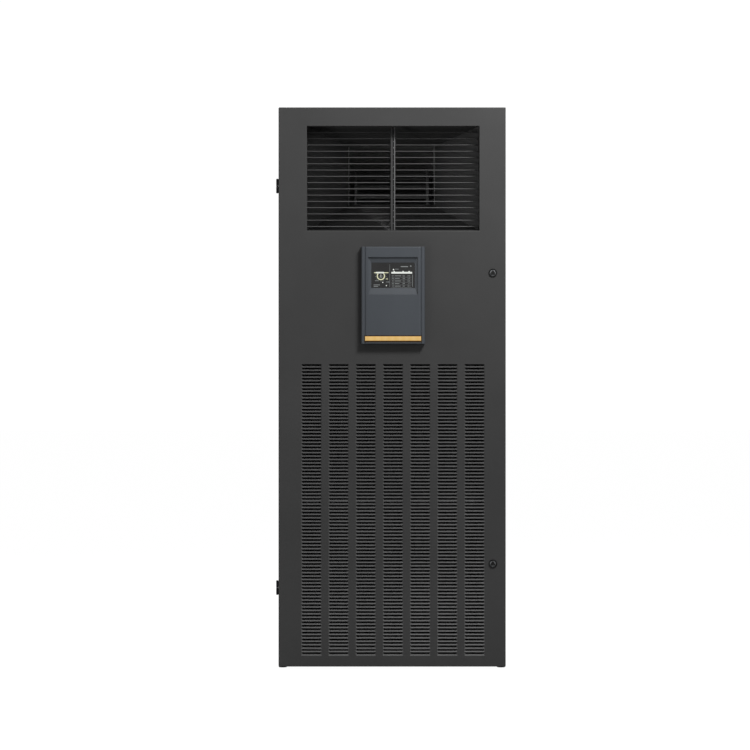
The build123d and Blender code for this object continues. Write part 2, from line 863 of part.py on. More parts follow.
def make_filter(z0):
    """One filter: a rim with pleated medium inside."""
    half = filter_width / 2
    y0 = filter_y
    y1 = filter_y + filter_depth
    z1 = z0 + filter_height
    rim = block(-half, half, y0, y1, z0, z1)
    rim -= block(-half + filter_rim, half - filter_rim, y0, y1, z0 + filter_rim, z1 - filter_rim)
    x0 = -half + filter_rim
    step = (filter_width - 2 * filter_rim) / filter_pleats / 2
    deep = y1 - 3.0
    shallow = y0 + 3.0
    front_line = []
    for fold in range(2 * filter_pleats + 1):
        y = shallow if fold % 2 == 0 else deep - pleat_sheet * 2
        front_line.append((x0 + fold * step, y))
    back_line = [(x, y + pleat_sheet * 2) for x, y in reversed(front_line)]
    medium = slice_z(front_line + back_line, z0 + filter_rim, z1 - filter_rim)
    return rim + medium


# Coil and drain pan

def tilted(piece):
    """Lean a piece that is modelled upright about the low end of the coil."""
    return Pos(0, coil_low_y, coil_low_z) * Rot(coil_tilt, 0, 0) * piece


def make_coil():
    """Fin pack between two end plates that stand in the drain pan, with raised bands of closer fins."""
    half = coil_width / 2
    deep = coil_depth / 2
    pack = block(-half, half, -deep + coil_rib, deep - coil_rib, 0, coil_length)
    count = int(coil_width // coil_rib_pitch)
    for index in range(count):
        x = -half + (index + 0.5) * coil_width / count
        pack += block(x - 6.0, x + 6.0, -deep, deep, 4.0, coil_length - 4.0)
    pieces = [tilted(pack)]
    for sign in (-1, 1):
        outer = sign * (half + coil_plate)
        plate = tilted(block(sign * half, outer, -deep - 6, deep + 6, 0, coil_length))
        y0 = coil_low_y - coil_foot / 2
        plate += block(sign * half, outer, y0, y0 + coil_foot, pan_floor() + fit_gap, coil_low_z + 10)
        pieces.append(plate)
    return pieces


def make_coil_tubing():
    """Return bends on the right of the coil, and the two headers on its left."""
    pieces = []
    x_plate = coil_width / 2 + coil_plate
    pitch = coil_length / bend_count
    r = tube_radius
    for index in range(bend_count):
        z = (index + 0.5) * pitch
        bend = block(x_plate, x_plate + bend_radius + r, -r, r, z - bend_radius - r, z + bend_radius + r)
        bend = chamfer(bend.edges().filter_by(Axis.Y).group_by(Axis.X)[-1], bend_radius * 0.7)
        inner = bend_radius - r
        pieces.append(tilted(bend - block(x_plate, x_plate + inner, -r, r, z - inner, z + inner)))
    low = (coil_length - header_length) / 2
    for y in (-header_spread, header_spread):
        header = rod_z(-x_plate - header_radius, y, low, low + header_length, header_radius)
        pieces.append(tilted(header))
    return pieces


def pan_floor():
    """Height of the upper face of the pan's floor."""
    return coil_low_z - coil_depth / 2 - 2.0 - pan_height + pan_sheet


def make_drain_pan():
    """Sheet tray under the low end of the coil, with its drain hole, and its two brackets."""
    half = pan_width / 2
    y1 = frame_back - panel_flange - pan_rear_gap
    y0 = y1 - pan_depth
    z0 = pan_floor() - pan_sheet
    z1 = z0 + pan_height
    pan = block(-half, half, y0, y1, z0, z1)
    t = pan_sheet
    pan -= block(-half + t, half - t, y0 + t, y1 - t, z0 + t, z1)
    drain_x = half - drain_from_side
    drain_y = y1 - drain_from_rear
    pan -= rod_z(drain_x, drain_y, z0 - 1, z0 + t + 1, pan_drain_radius)
    supports = []
    for sign in (-1, 1):
        inset = pan_bracket_inset
        supports.append(block(sign * half, sign * frame_side, y0 + inset, y1 - inset, z0, z0 + pan_sheet))
    return [pan] + supports


# Compressor and pipes

def make_compressor():
    """Hermetic scroll compressor with a domed top, a welded foot plate and a terminal box."""
    bottom = base_top + base_panel_sheet + grommet_height
    foot = bottom + compressor_plate_sheet
    top = compressor_top()
    shoulder = top - compressor_dome
    r = compressor_radius
    outline = [(0, foot), (r, foot), (r, shoulder), (r * 0.5, top), (0, top)]
    shell = revolve(Plane.XZ * make_face(Polyline(*outline, close=True)), Axis.Z)
    half = compressor_plate / 2
    plate = block(-half, half, -half, half, bottom, foot)
    wide = terminal_box_width / 2
    low = bottom + terminal_box_lift
    box = block(-wide, wide, -r - terminal_box_proud, -r / 2, low, low + terminal_box_height)
    return Pos(compressor_x, compressor_y, 0) * (shell + plate + box)


def make_grommets():
    """Eight-sided rubber grommets under the corners of the compressor's plate."""
    z0 = base_top + base_panel_sheet
    half = compressor_plate / 2 - grommet_radius
    pieces = []
    for dx in (-1, 1):
        for dy in (-1, 1):
            place = Plane((compressor_x + dx * half, compressor_y + dy * half, z0))
            pieces.append(extrude(place * RegularPolygon(grommet_radius, 8), grommet_height))
    return pieces


def make_pipe(points, radius):
    """A tube along straight runs joined by mitred elbows."""
    start = Vector(*points[0])
    section = Plane(start, z_dir=Vector(*points[1]) - start) * Circle(radius)
    return sweep(section, path=Polyline(*points), transition=Transition.RIGHT)


def compressor_top():
    return base_top + base_panel_sheet + grommet_height + compressor_plate_sheet + compressor_height


def make_refrigerant_pipes():
    """Discharge pipe to the rear, suction pipe from the coil's header, and the drier on its clip."""
    x = compressor_x
    y = compressor_y
    top = compressor_top()
    high = top + pipe_rise
    discharge = make_pipe([(x, y, top), (x, y, high), (pipe_x, y, high), (pipe_x, frame_back, high)],
                          pipe_radius)
    suction = make_pipe([(x - compressor_radius, y, suction_height), (suction_x, y, suction_height),
                         (suction_x, suction_y, suction_end)], pipe_radius)
    z0 = base_top + base_panel_sheet
    z = z0 + drier_radius + drier_lift
    drier = rod_x(drier_x - drier_length / 2, drier_x + drier_length / 2, drier_y, z, drier_radius)
    wide = drier_radius * math.sqrt(0.5)
    clip = block(drier_x - 12, drier_x + 12, drier_y - wide, drier_y + wide, z0, z - drier_radius - 0.2)
    return [discharge, suction, drier, clip]


# Humidifier and reheat

def make_humidifier():
    """Steam cylinder on its tank base, with the steam neck on top."""
    x = humidifier_x
    y = humidifier_y
    z0 = base_top + base_panel_sheet
    z1 = z0 + humidifier_base
    z2 = z1 + humidifier_height
    foot = humidifier_radius + humidifier_foot
    tank = block(x - foot, x + foot, y - foot, y + foot, z0, z1)
    tank = chamfer(tank.edges().filter_by(Axis.Z), 12.0)
    body = rod_z(x, y, z1, z2, humidifier_radius)
    r = humidifier_neck
    neck = block(x - r, x + r, y - r, y + r, z2, z2 + humidifier_neck_height)
    return [tank, body + neck]


def make_heater():
    """Flat finned strip elements between two brackets."""
    half = coil_width / 2
    pieces = []
    first = heater_y - (heater_strips - 1) / 2 * heater_strip_pitch
    last = heater_y + (heater_strips - 1) / 2 * heater_strip_pitch
    high = heater_height + heater_bracket_height / 2
    low = heater_height - heater_bracket_height / 2
    t = heater_bracket_sheet
    reach = heater_bracket_reach
    for sign in (-1, 1):
        bracket = block(sign * half, sign * (half + t), first - reach, last + reach, low, high)
        bracket += block(sign * half, sign * frame_side, first - reach, last + reach, low, low + t)
        pieces.append(bracket)
    for index in range(heater_strips):
        y = first + index * heater_strip_pitch
        strip = heater_strip_width / 2
        pieces.append(block(-half, half, y - strip / 3, y + strip / 3,
                            heater_height - strip, heater_height + strip))
    return pieces


# Electrical enclosure

enclosure_front = frame_front + enclosure_setback
enclosure_back = enclosure_front + enclosure_depth
enclosure_top = enclosure_bottom + enclosure_height
device_z = enclosure_bottom + enclosure_height * 0.62
breaker_left = breaker_from_edge - enclosure_width / 2
knob_x = enclosure_width / 2 - knob_from_edge
knob_z = device_z
device_back = enclosure_back - enclosure_sheet
breaker_front = device_back - breaker_depth
cover_y = breaker_front - cover_gap


def make_electrical_enclosure():
    """Tray, rails to the posts, and a dead-front cover with a window for the breaker levers."""
    half = enclosure_width / 2
    t = enclosure_sheet
    tray = block(-half, half, cover_y + t, enclosure_back, enclosure_bottom, enclosure_top)
    tray -= block(-half + t, half - t, cover_y, enclosure_back - t, enclosure_bottom + t, enclosure_top - t)
    cover = block(-half, half, cover_y, cover_y + t, enclosure_bottom, enclosure_top)
    x0 = breaker_left - cover_window_side
    x1 = breaker_left + breaker_count * (breaker_width + breaker_gap) + cover_window_side
    cover -= block(x0, x1, cover_y - 1, cover_y + 2 * t, device_z - cover_window_height / 2,
                   device_z + cover_window_height / 2)
    hole = knob_hole / 2
    cover -= block(knob_x - hole, knob_x + hole, cover_y - 1, cover_y + 2 * t, knob_z - hole, knob_z + hole)
    rails = []
    x1 = frame_side - frame_sheet
    y0 = frame_front + post_depth
    for sign, z in ((-1, enclosure_bottom), (1, enclosure_top)):
        rail = block(-x1, x1, y0, y0 + frame_sheet, z, z + sign * enclosure_rail)
        rails.append(rail + block(-x1, x1, y0 + frame_sheet, enclosure_back - 6, z, z + sign * frame_sheet))
    return [tray, cover] + rails


def make_switchgear():
    """Breakers with their levers, contactors and a terminal strip, on the back of the tray."""
    pieces = []
    for index in range(breaker_count):
        x0 = breaker_left + index * (breaker_width + breaker_gap)
        tall = breaker_height / 2
        body = block(x0, x0 + breaker_width, breaker_front, device_back, device_z - tall, device_z + tall)
        body += block(x0 + 1, x0 + breaker_width - 1, breaker_front - toggle_reach, breaker_front,
                      device_z - toggle_height, device_z + toggle_height)
        lever_front = breaker_front - toggle_reach - toggle_lever
        body += block(x0 + 5, x0 + breaker_width - 5, lever_front, breaker_front - toggle_reach,
                      device_z + 2, device_z + 12)
        pieces.append(body)
    for index in range(contactor_count):
        x0 = contactor_first + index * (contactor_width + contactor_spacing)
        x1 = x0 + contactor_width
        low = enclosure_bottom + contactor_lift
        high = low + contactor_height
        step = contactor_step
        front = device_back - contactor_depth
        body = block(x0, x1, front + step, device_back, low, high)
        body += block(x0 + step, x1 - step, front, front + step, low + 1.5 * step, high - 1.5 * step)
        pieces.append(body)
    return pieces


def make_switch_body():
    """Main switch on the back of the tray, bored for the spindle."""
    half = switch_body / 2
    y0 = device_back - switch_depth
    body = block(knob_x - half, knob_x + half, y0, device_back, knob_z - half, knob_z + half)
    return body - rod_y(knob_x, y0 - 1, y0 + 12, knob_z, knob_bore)


def make_switch_knob():
    """Bar handle in front of the cover, upright at rest, on its square spindle."""
    y_back = cover_y - knob_clearance
    y_base = y_back - knob_base_height
    half = knob_grip / 2
    tall = knob_radius
    base = block(knob_x - half - 4, knob_x + half + 4, y_base, y_back, knob_z - tall, knob_z + tall)
    grip = block(knob_x - half, knob_x + half, y_base - knob_grip_height, y_base, knob_z - tall,
                 knob_z + tall)
    handle = chamfer((base + grip).edges().filter_by(Axis.Y), 2.0)
    wide = knob_spindle / 2
    return handle + block(knob_x - wide, knob_x + wide, y_back, device_back - switch_depth + 10.0,
                          knob_z - wide, knob_z + wide)


# Blower

def make_blower_rails():
    """Two channels across the cabinet that carry the blower and its motor."""
    rails = []
    t = frame_sheet
    z0 = blower_rail_top - blower_rail_height
    for y in blower_rail_y:
        half = blower_rail_width / 2
        rail = block(-frame_side, frame_side, y - half, y + half, z0, blower_rail_top)
        rail -= block(-frame_side, frame_side, y - half + t, y + half - t, z0, blower_rail_top - t)
        rails.append(rail)
    return rails


def scroll_face(grow):
    """Outline of the scroll between tongue and outlet, larger all round by grow."""
    a = scroll_step / 2
    r1 = scroll_first_radius + grow
    r2 = r1 + scroll_step
    r3 = r2 + scroll_step
    turn = math.sqrt(0.5)
    start = (a - r1, -a)
    low = (a, -a - r1)
    back = (a + r2, a)
    top = (-a, a + r3)
    reach = -scroll_first_radius - outlet_reach
    outline = ThreePointArc(start, (a - r1 * turn, -a - r1 * turn), low)
    outline += ThreePointArc(low, (a + r2 * turn, a - r2 * turn), back)
    outline += ThreePointArc(back, (-a + r3 * turn, a + r3 * turn), top)
    outline += Polyline(top, (reach, a + r3), (reach, -a), start)
    return make_face(outline)


def make_blower_housing():
    """Scroll housing: a wrap closed by two cheeks with round inlets, on two mounting feet."""
    half = housing_width / 2
    t = housing_sheet
    a = scroll_step / 2
    place = Plane((0, blower_y, blower_z), x_dir=(0, 1, 0), z_dir=(1, 0, 0))
    housing = extrude(place * scroll_face(t), half, both=True)
    housing -= extrude(place * scroll_face(0), half - t, both=True)
    mouth_top = blower_z + a + scroll_first_radius + 2 * scroll_step
    housing -= block(-half + t, half - t, outlet_plane - t - 1, outlet_plane + 1, blower_z - a, mouth_top)
    for sign in (-1, 1):
        inner = sign * (half - t)
        y0 = blower_y - housing_foot_length / 2
        y1 = blower_y + housing_foot_length / 2
        outer = sign * (half + housing_foot_width)
        top = blower_z - scroll_first_radius - housing_foot_overlap
        foot = block(inner, sign * half, y0, y1, blower_rail_top, top)
        foot += block(inner, outer, y0, y1, blower_rail_top, blower_rail_top + t)
        housing += foot
    return [housing - rod_x(-half - 1, half + 1, blower_y, blower_z, inlet_radius)]


def wheel_blade_points(angle):
    """Outline of one forward-curved blade, from the inner to the outer radius."""
    steps = 2
    front_side = []
    back_side = []
    for step in range(steps + 1):
        share = step / steps
        radius = wheel_inner_radius + share * (wheel_radius - wheel_edge - wheel_inner_radius)
        turn = angle + 0.16 * share * share
        half = wheel_blade_sheet / 2 / radius
        front_side.append((radius * math.cos(turn + half), radius * math.sin(turn + half)))
        back_side.append((radius * math.cos(turn - half), radius * math.sin(turn - half)))
    return front_side + back_side[::-1]


def make_blower_wheel():
    """Double-inlet wheel: blades on a centre disc, two rims, and the hub on its shaft."""
    place = Plane((0, blower_y, blower_z), x_dir=(0, 1, 0), z_dir=(1, 0, 0))
    half = wheel_width / 2
    outlines = []
    for index in range(wheel_blades):
        points = wheel_blade_points(2 * math.pi * index / wheel_blades)
        outlines.append(make_face(Polyline(*points, close=True)))
    wheel = extrude(place * Sketch(children=outlines), half - wheel_rim, both=True)
    disc = RegularPolygon(wheel_inner_radius + 1.0, wheel_blades)
    wheel += extrude(place * disc, wheel_disc / 2, both=True)
    ring = RegularPolygon(wheel_radius, wheel_blades)
    ring -= RegularPolygon(wheel_inner_radius - ring_lap, wheel_blades)
    for x0 in (-half, half - wheel_rim):
        wheel += Pos(x0, 0, 0) * extrude(place * ring, wheel_rim)
    wheel += extrude(place * RegularPolygon(hub_radius, 6), hub_width / 2, both=True)
    return wheel + rod_x(shaft_left_end(), shaft_right_end(), blower_y, blower_z, shaft_radius)


def bearing_outer():
    return housing_width / 2 + bearing_width + 3.0


def shaft_left_end():
    return -bearing_outer() - motor_gap - shaft_in_motor


def shaft_right_end():
    return bearing_outer() + 4.0


def make_blower_bearings():
    """A bearing block at each inlet, carried on a bar across it."""
    pieces = []
    face = housing_width / 2
    bar_half = inlet_radius + 10
    for sign in (-1, 1):
        bar = block(sign * face, sign * (face + 3.0), blower_y - bar_half, blower_y + bar_half,
                    blower_z - bearing_bar / 2, blower_z + bearing_bar / 2)
        bar += block(sign * face, sign * bearing_outer(), blower_y - bearing_radius,
                     blower_y + bearing_radius,
                     blower_z - bearing_radius, blower_z + bearing_radius)
        bore = shaft_radius + fit_gap
        pieces.append(bar - rod_x(sign * (face - 1), sign * (bearing_outer() + 1), blower_y, blower_z, bore))
    return pieces


def make_blower_motor():
    """Foot-mounted motor on its stand, with a blind bore in its drive end for the shaft."""
    x1 = -bearing_outer() - motor_gap
    x0 = x1 - motor_length
    body = rod_x(x0, x1, blower_y, blower_z, motor_radius)
    foot_x0 = x0 + motor_foot_inset
    foot_x1 = x1 - motor_foot_inset
    foot_z = blower_z - motor_radius - 6
    body += block(foot_x0, foot_x1, blower_y - motor_foot / 2, blower_y + motor_foot / 2,
                  foot_z, foot_z + motor_foot_height)
    body -= rod_x(shaft_left_end() - 2, x1 + 1, blower_y, blower_z, shaft_radius + fit_gap)
    sheet = motor_stand_sheet
    y0 = blower_rail_y[0] - blower_rail_width / 4
    y1 = blower_rail_y[1] + blower_rail_width / 4
    stand = block(foot_x0, foot_x1, y0, y1, foot_z - sheet, foot_z)
    for y in (y0, y1 - sheet):
        stand += block(foot_x0, foot_x1, y, y + sheet, blower_rail_top, foot_z)
    return [body, stand]


def make_outlet_duct():
    """Four sheets that widen from the blower's mouth to the grille."""
    a = scroll_step / 2
    y0 = outlet_plane - duct_gap
    y1 = grille_y + grille_depth
    x0 = housing_width / 2
    z_low = blower_z - a
    z_high = blower_z + a + scroll_first_radius + 2 * scroll_step
    t = duct_sheet
    sheets = []
    for z_in, z_out, step in ((z_low, outlet_bottom, -t), (z_high, outlet_top, t)):
        outline = [(-x0, y0), (x0, y0), (outlet_right, y1), (outlet_left, y1)]
        prism = slice_z(outline, outlet_bottom - outlet_height, outlet_top + outlet_height)
        profile = [(y0, z_in), (y1, z_out), (y1, z_out + step), (y0, z_in + step)]
        sheets.append(slice_x(profile, -side, side) & prism)
    for x_in, x_out, step in ((-x0, outlet_left, -t), (x0, outlet_right, t)):
        profile = [(y0, z_low), (y0, z_high), (y1, outlet_top), (y1, outlet_bottom)]
        outline = [(x_in, y0), (x_out, y1), (x_out + step, y1), (x_in + step, y0)]
        prism = slice_z(outline, outlet_bottom - outlet_height, outlet_top + outlet_height)
        sheets.append(prism & slice_x(profile, -side, side))
    return sheets


def build():
    """Write every sub-part."""
    os.makedirs("parts", exist_ok=True)
    save("base_frame", *make_base_frame())
    save("floor_pads", *make_floor_pads())
    save("base_panel", make_base_panel())
    save("corner_posts", *make_corner_posts())
    save("lock_post", *make_lock_post())
    save("top_panel", make_top_panel())
    save("left_side_panel", make_side_panel(-1))
    save("right_side_panel", make_side_panel(1))
    save("rear_panel", make_rear_panel())
    save("upper_front_panel", make_upper_front_panel())
    save("door_gasket", *make_door_gasket())
    save("hinge_frame_leaves", *make_hinge_frame_leaves())
    save("filter_frame", *make_filter_frame())
    low_filter = base_top + base_panel_sheet
    save("return_filters", make_filter(low_filter), make_filter(low_filter + filter_height + filter_spacing))
    save("evaporator_coil", *make_coil())
    save("coil_tubing", *make_coil_tubing())
    save("drain_pan", *make_drain_pan())
    save("compressor", make_compressor())
    save("compressor_grommets", *make_grommets())
    save("refrigerant_pipes", *make_refrigerant_pipes())
    save("humidifier_cylinder", *make_humidifier())
    save("heater_elements", *make_heater())
    save("electrical_enclosure", *make_electrical_enclosure())
    save("switchgear", *make_switchgear())
    save("main_switch_body", make_switch_body())
    save("main_switch_knob", make_switch_knob())
    save("blower_rails", *make_blower_rails())
    save("blower_housing", *make_blower_housing())
    save("blower_wheel", make_blower_wheel())
    save("blower_bearings", *make_blower_bearings())
    save("blower_motor", *make_blower_motor())
    save("outlet_duct", *make_outlet_duct())
    save("grille_frame", *make_grille_frame())
    save("grille_mullion", make_grille_mullion())
    for index in range(blade_count):
        save(f"outlet_blade_{index + 1:02d}", make_blade(index))
    save("blade_link_bar", make_blade_link())
    save("door_skin", make_door_skin())
    save("door_louvre_insert", make_louvre_insert())
    save("hinge_door_leaves", *make_hinge_door_leaves())
    save("controller_housing", make_controller_housing())
    save("controller_screen", screen_block(0))
    save("controller_light_bar", make_light_bar())
    save("lock_cases", *make_lock_cases())
    save("lower_lock_cam", make_lock_cam(lock_heights[0]))
    save("upper_lock_cam", make_lock_cam(lock_heights[1]))


build()
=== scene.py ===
import math

import bmesh
import bpy
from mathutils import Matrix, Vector


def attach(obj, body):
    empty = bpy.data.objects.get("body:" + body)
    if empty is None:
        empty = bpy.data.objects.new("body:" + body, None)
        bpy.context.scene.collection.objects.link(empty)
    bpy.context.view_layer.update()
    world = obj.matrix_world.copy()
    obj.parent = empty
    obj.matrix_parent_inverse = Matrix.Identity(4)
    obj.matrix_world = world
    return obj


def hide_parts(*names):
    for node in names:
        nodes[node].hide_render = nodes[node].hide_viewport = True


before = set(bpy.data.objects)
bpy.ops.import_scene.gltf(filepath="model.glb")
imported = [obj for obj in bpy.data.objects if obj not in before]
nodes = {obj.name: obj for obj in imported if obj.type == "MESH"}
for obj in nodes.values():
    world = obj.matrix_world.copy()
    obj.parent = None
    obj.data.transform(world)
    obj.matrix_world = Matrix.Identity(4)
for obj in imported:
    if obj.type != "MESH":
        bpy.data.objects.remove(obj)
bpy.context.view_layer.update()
scene = bpy.context.scene

# Lengths are in millimetres about the middle of the cabinet, with the front at negative Y, and
# are moved into the frame's own place and metres when a piece is made. Finishes and the studio
# are in metres. An area is its left, right, low and high edge.
MIDDLE = Vector((3.85, 12.0, 0.0))


def spot(x, y, z):
    """A place on the cabinet, in the frame's metres."""
    return (Vector((x, y, z)) + MIDDLE) / 1000.0


# Door and its windows
DOOR_X = 3.3
DOOR = (-373.5, 374.5, 7.0, 1849.0)
DOOR_FRONT, DOOR_BACK = -280.0, -250.0
DOOR_LIP = 31.0
DOOR_FOLD = 2.2
SHEET = 1.5
OUTLET = (-280.7, 287.3, 1442.9, 1786.9)
OUTLET_RETURN = 20.0
CONTROL_HOLE = (DOOR_X - 99.5, DOOR_X + 99.5, 1075.0, 1385.0)

# Pressed louvres
LOUVRE_WINDOW = 66.0
LOUVRE_PITCH_X, LOUVRE_PITCH_Z = 89.5, 11.295
LOUVRE_COLUMNS, LOUVRE_ROWS = 7, 85
LOUVRE_LOW = 43.2
LOUVRE_HIGH = LOUVRE_LOW + LOUVRE_ROWS * LOUVRE_PITCH_Z
LOUVRE_LAND, LOUVRE_DEPTH, LOUVRE_RISE = 1.2, 6.1, 5.2
LOUVRE_SHEET = 1.1

# Outlet blades and the post between their banks
BLADES = 16
BLADE_Y = -219.9
BLADE_LOW, BLADE_PITCH = 1459.0, 20.75
BLADE_REACH = 13.0
NOSE = 1.25
BANK_GAP = 11.0
TANG_REACH, TANG_LAP, TANG_HALF = 6.0, 0.4, 2.0
LINK_HALF, LINK_PLAY, CRANK_SHEET = 1.2, 0.4, 2.4
PIN_REACH = 11.0
POST_FACE, POST_WEB, POST_BACK = -239.7, -236.0, -234.4
POST_WIDTH, RIB_WIDTH, GROOVE_WIDTH = 14.9, 6.6, 4.0

# Controller
CONTROL = (DOOR_X - 104.5, DOOR_X + 104.5, 1070.0, 1389.0)
CONTROL_FRONT = -304.0
CONTROL_INSET, CONTROL_REACH = 5.3, 18.0
SIDE_ROUNDING, EDGE_ROUNDING = 6.0, 2.5
RAIL_END = 11.6
SLIT = (12.0, 13.7)
SLOPE = (14.2, 17.6)
MOUTH = (DOOR_X - 81.5, DOOR_X + 81.5, 1232.0, 1355.0)
MOUTH_STEP, MOUTH_DEPTH, SCREEN_SINK = 3.6, 8.0, 3.0
SCREEN = (DOOR_X - 71.5, DOOR_X + 71.5, 1253.5, 1337.0)
SCREEN_FACE, SCREEN_GLASS, SCREEN_PLAY = -296.0, 3.0, 0.1
MARK_PROUD, MARK_SUNK = 0.12, 0.1
BAR = (DOOR_X - 92.0, DOOR_X + 92.0, 1079.8, 1094.8)
BAR_FRONT, BAR_BACK, BAR_CROWN = -304.3, -299.0, 0.7
# The seat reaches further below the lens, where its brown stands for the painted shadow under the lens.
SEAT = (BAR[0] - 3.2, BAR[1] + 3.2, BAR[2] - 5.4, BAR[3] + 2.6)
SEAT_LEVELS = (2.5, 5.6)
SEAT_FRONT, SEAT_BACK = -302.2, -299.4

# Locks, hinges and feet
LOCK_X = 332.0
LOCK_HEIGHTS = {"lower": 346.0, "upper": 1304.0}
LOCK_HOLE = 9.3
NUT_BACK, NUT_FRONT, NUT_RADIUS = -272.5, -278.5, 15.2
ROTOR_FRONT, ROTOR_BACK, ROTOR_RADIUS, ROTOR_CORNER = -283.0, -281.6, 8.4, 12
HINGE_X, HINGE_Y = -378.7, -247.0
HINGE_HEIGHTS = (265.0, 1592.0)
LEAF_REACH = 24.0
FOOT_X = 361.5
FOOT_PLACES_Y = (-224.0, 258.5)
FOOT_NUT_RADIUS, FOOT_NUT_LOW, FOOT_NUT_HIGH = 9.6, 4.0, 6.5


# Shader trees

class Wire:
    """An output of a finish's node tree that takes part in plain arithmetic."""

    def __init__(self, finish, socket):
        self.finish = finish
        self.socket = socket

    def _math(self, operation, first, second):
        return self.finish.node("ShaderNodeMath", {"operation": operation}, {0: first, 1: second})

    def __add__(self, other):
        return self._math("ADD", self, other)

    def __sub__(self, other):
        return self._math("SUBTRACT", self, other)

    def __mul__(self, other):
        return self._math("MULTIPLY", self, other)

    def __truediv__(self, other):
        return self._math("DIVIDE", self, other)

    def __abs__(self):
        return self._math("ABSOLUTE", self, 0.0)

    def zigzag(self, half):
        """Rise from 0 to 1 and fall back, over half a period each."""
        return self._math("PINGPONG", self, half) / half


class Finish:
    """A surface finish with one principled shader."""

    def __init__(self, name, **constants):
        self.material = bpy.data.materials.new(name)
        self.material.use_nodes = True
        self.tree = self.material.node_tree
        self.tree.nodes.clear()
        self.output = self.tree.nodes.new("ShaderNodeOutputMaterial")
        self.shader = self.tree.nodes.new("ShaderNodeBsdfPrincipled")
        self.tree.links.new(self.shader.outputs[0], self.output.inputs["Surface"])
        self._place = None
        self.put(**constants)

    def put(self, **values):
        """Set or link inputs of the principled shader; an underscore stands for a space."""
        for name, value in values.items():
            self._feed(self.shader.inputs[name.replace("_", " ")], value)
        return self

    def _feed(self, socket, value):
        if isinstance(value, Wire):
            self.tree.links.new(value.socket, socket)
        elif socket.type == "RGBA":
            socket.default_value = (*value, 1.0)
        else:
            socket.default_value = value

    def node(self, kind, settings=None, inputs=None, out=0):
        """Add a node: its settings first, then the values or links of its sockets."""
        made = self.tree.nodes.new(kind)
        for key, value in (settings or {}).items():
            setattr(made, key, value)
        for key, value in (inputs or {}).items():
            self._feed(made.inputs[key], value)
        return Wire(self, made.outputs[out])

    def place(self):
        """Object coordinates of the piece."""
        if self._place is None:
            self._place = self.node("ShaderNodeTexCoord", out="Object")
        return self._place

    def stretched(self, scale):
        return self.node("ShaderNodeMapping", None, {"Vector": self.place(), "Scale": scale})

    def axis(self, name):
        return self.node("ShaderNodeSeparateXYZ", None, {0: self.place()}, out=name)

    def noise(self, scale, detail=3.0, roughness=0.55, vector=None):
        inputs = {"Vector": vector or self.place(), "Scale": scale, "Detail": detail, "Roughness": roughness}
        return self.node("ShaderNodeTexNoise", None, inputs)

    def cells(self, scale, feature="F1", out="Distance"):
        inputs = {"Vector": self.place(), "Scale": scale}
        return self.node("ShaderNodeTexVoronoi", {"feature": feature}, inputs, out=out)

    def ramp(self, factor, *stops):
        """A colour ramp through stops of a position and a colour."""
        made = self.node("ShaderNodeValToRGB", None, {0: factor})
        elements = made.socket.node.color_ramp.elements
        while len(elements) < len(stops):
            elements.new(0.5)
        for element, (position, colour) in zip(elements, stops):
            element.position = position
            element.color = (*colour, 1.0)
        return made

    def spread(self, factor, low, high, from_low=0.3, from_high=0.7):
        """Carry a noise value onto a range of plain values."""
        inputs = {"Value": factor, "From Min": from_low, "From Max": from_high, "To Min": low, "To Max": high}
        return self.node("ShaderNodeMapRange", {"clamp": True}, inputs)

    def between(self, factor, first, second):
        """A colour between two colours."""
        return self.node("ShaderNodeMix", {"data_type": "RGBA"}, {0: factor, 6: first, 7: second}, out=2)

    def bump(self, height, depth, strength=1.0):
        """Raise the surface by a height of 0 to 1, over a depth in metres."""
        inputs = {"Height": height, "Distance": depth, "Strength": strength}
        return self.put(Normal=self.node("ShaderNodeBump", None, inputs))


def grey(value):
    """A neutral colour from its level on screen, 0 to 255."""
    level = value / 255.0
    return (level / 12.92 if level < 0.04045 else ((level + 0.055) / 1.055) ** 2.4,) * 3


def tone(red, green, blue):
    """A colour from its three levels on screen."""
    return tuple(grey(value)[0] for value in (red, green, blue))


def powder_coat(name, level, shine, texture=0.00006, dust_and_painted_light=None, gloss=0.3):
    """Fine-textured stove paint: orange peel, slight cloudiness, polished patches, and a paler band.

    The band is an axis, its largest share, the place where it is full and the place where it ends. On the
    louvres and the outlet lining it is painted light; on the blades it makes the lower blades paler.
    """
    paint = Finish(name, Specular_IOR_Level=gloss)
    cloud = paint.noise(2.2, 4.0)
    grain = paint.noise(1150.0, 2.0, 0.6)
    pits = paint.cells(620.0)
    base = paint.between(paint.spread(cloud, 0.0, 1.0), grey(level * 0.965), grey(level * 1.035))
    colour = paint.between(paint.spread(grain, 0.0, 0.22), base, grey(level * 1.25))
    # A paler band along one axis, mixed towards a light grey: painted light on the louvres and the outlet
    # lining.
    if dust_and_painted_light:
        axis, share, full, none = dust_and_painted_light
        band_share = paint.spread(paint.axis(axis), share, 0.0, full, none)
        colour = paint.between(band_share * paint.spread(cloud, 0.85, 1.15), colour, grey(150))
    polish = paint.spread(cloud + grain * 0.4, shine - 0.06, shine + 0.07, 0.5, 0.9)
    paint.put(Base_Color=colour, Roughness=polish)
    return paint.bump(grain * 0.7 + pits * 0.5, texture)


def moulded_plastic(name, colour, darker, shine=0.45):
    """Spark-eroded mould texture with faint flow marks."""
    plastic = Finish(name, Specular_IOR_Level=0.4)
    flow = plastic.noise(5.0, 3.0, vector=plastic.stretched((1.0, 1.0, 0.25)))
    grain = plastic.noise(900.0, 2.0, 0.7)
    colours = plastic.between(plastic.spread(flow, 0.0, 1.0), darker, colour)
    plastic.put(Base_Color=colours, Roughness=plastic.spread(grain, shine - 0.05, shine + 0.08))
    return plastic.bump(grain, 0.00005)


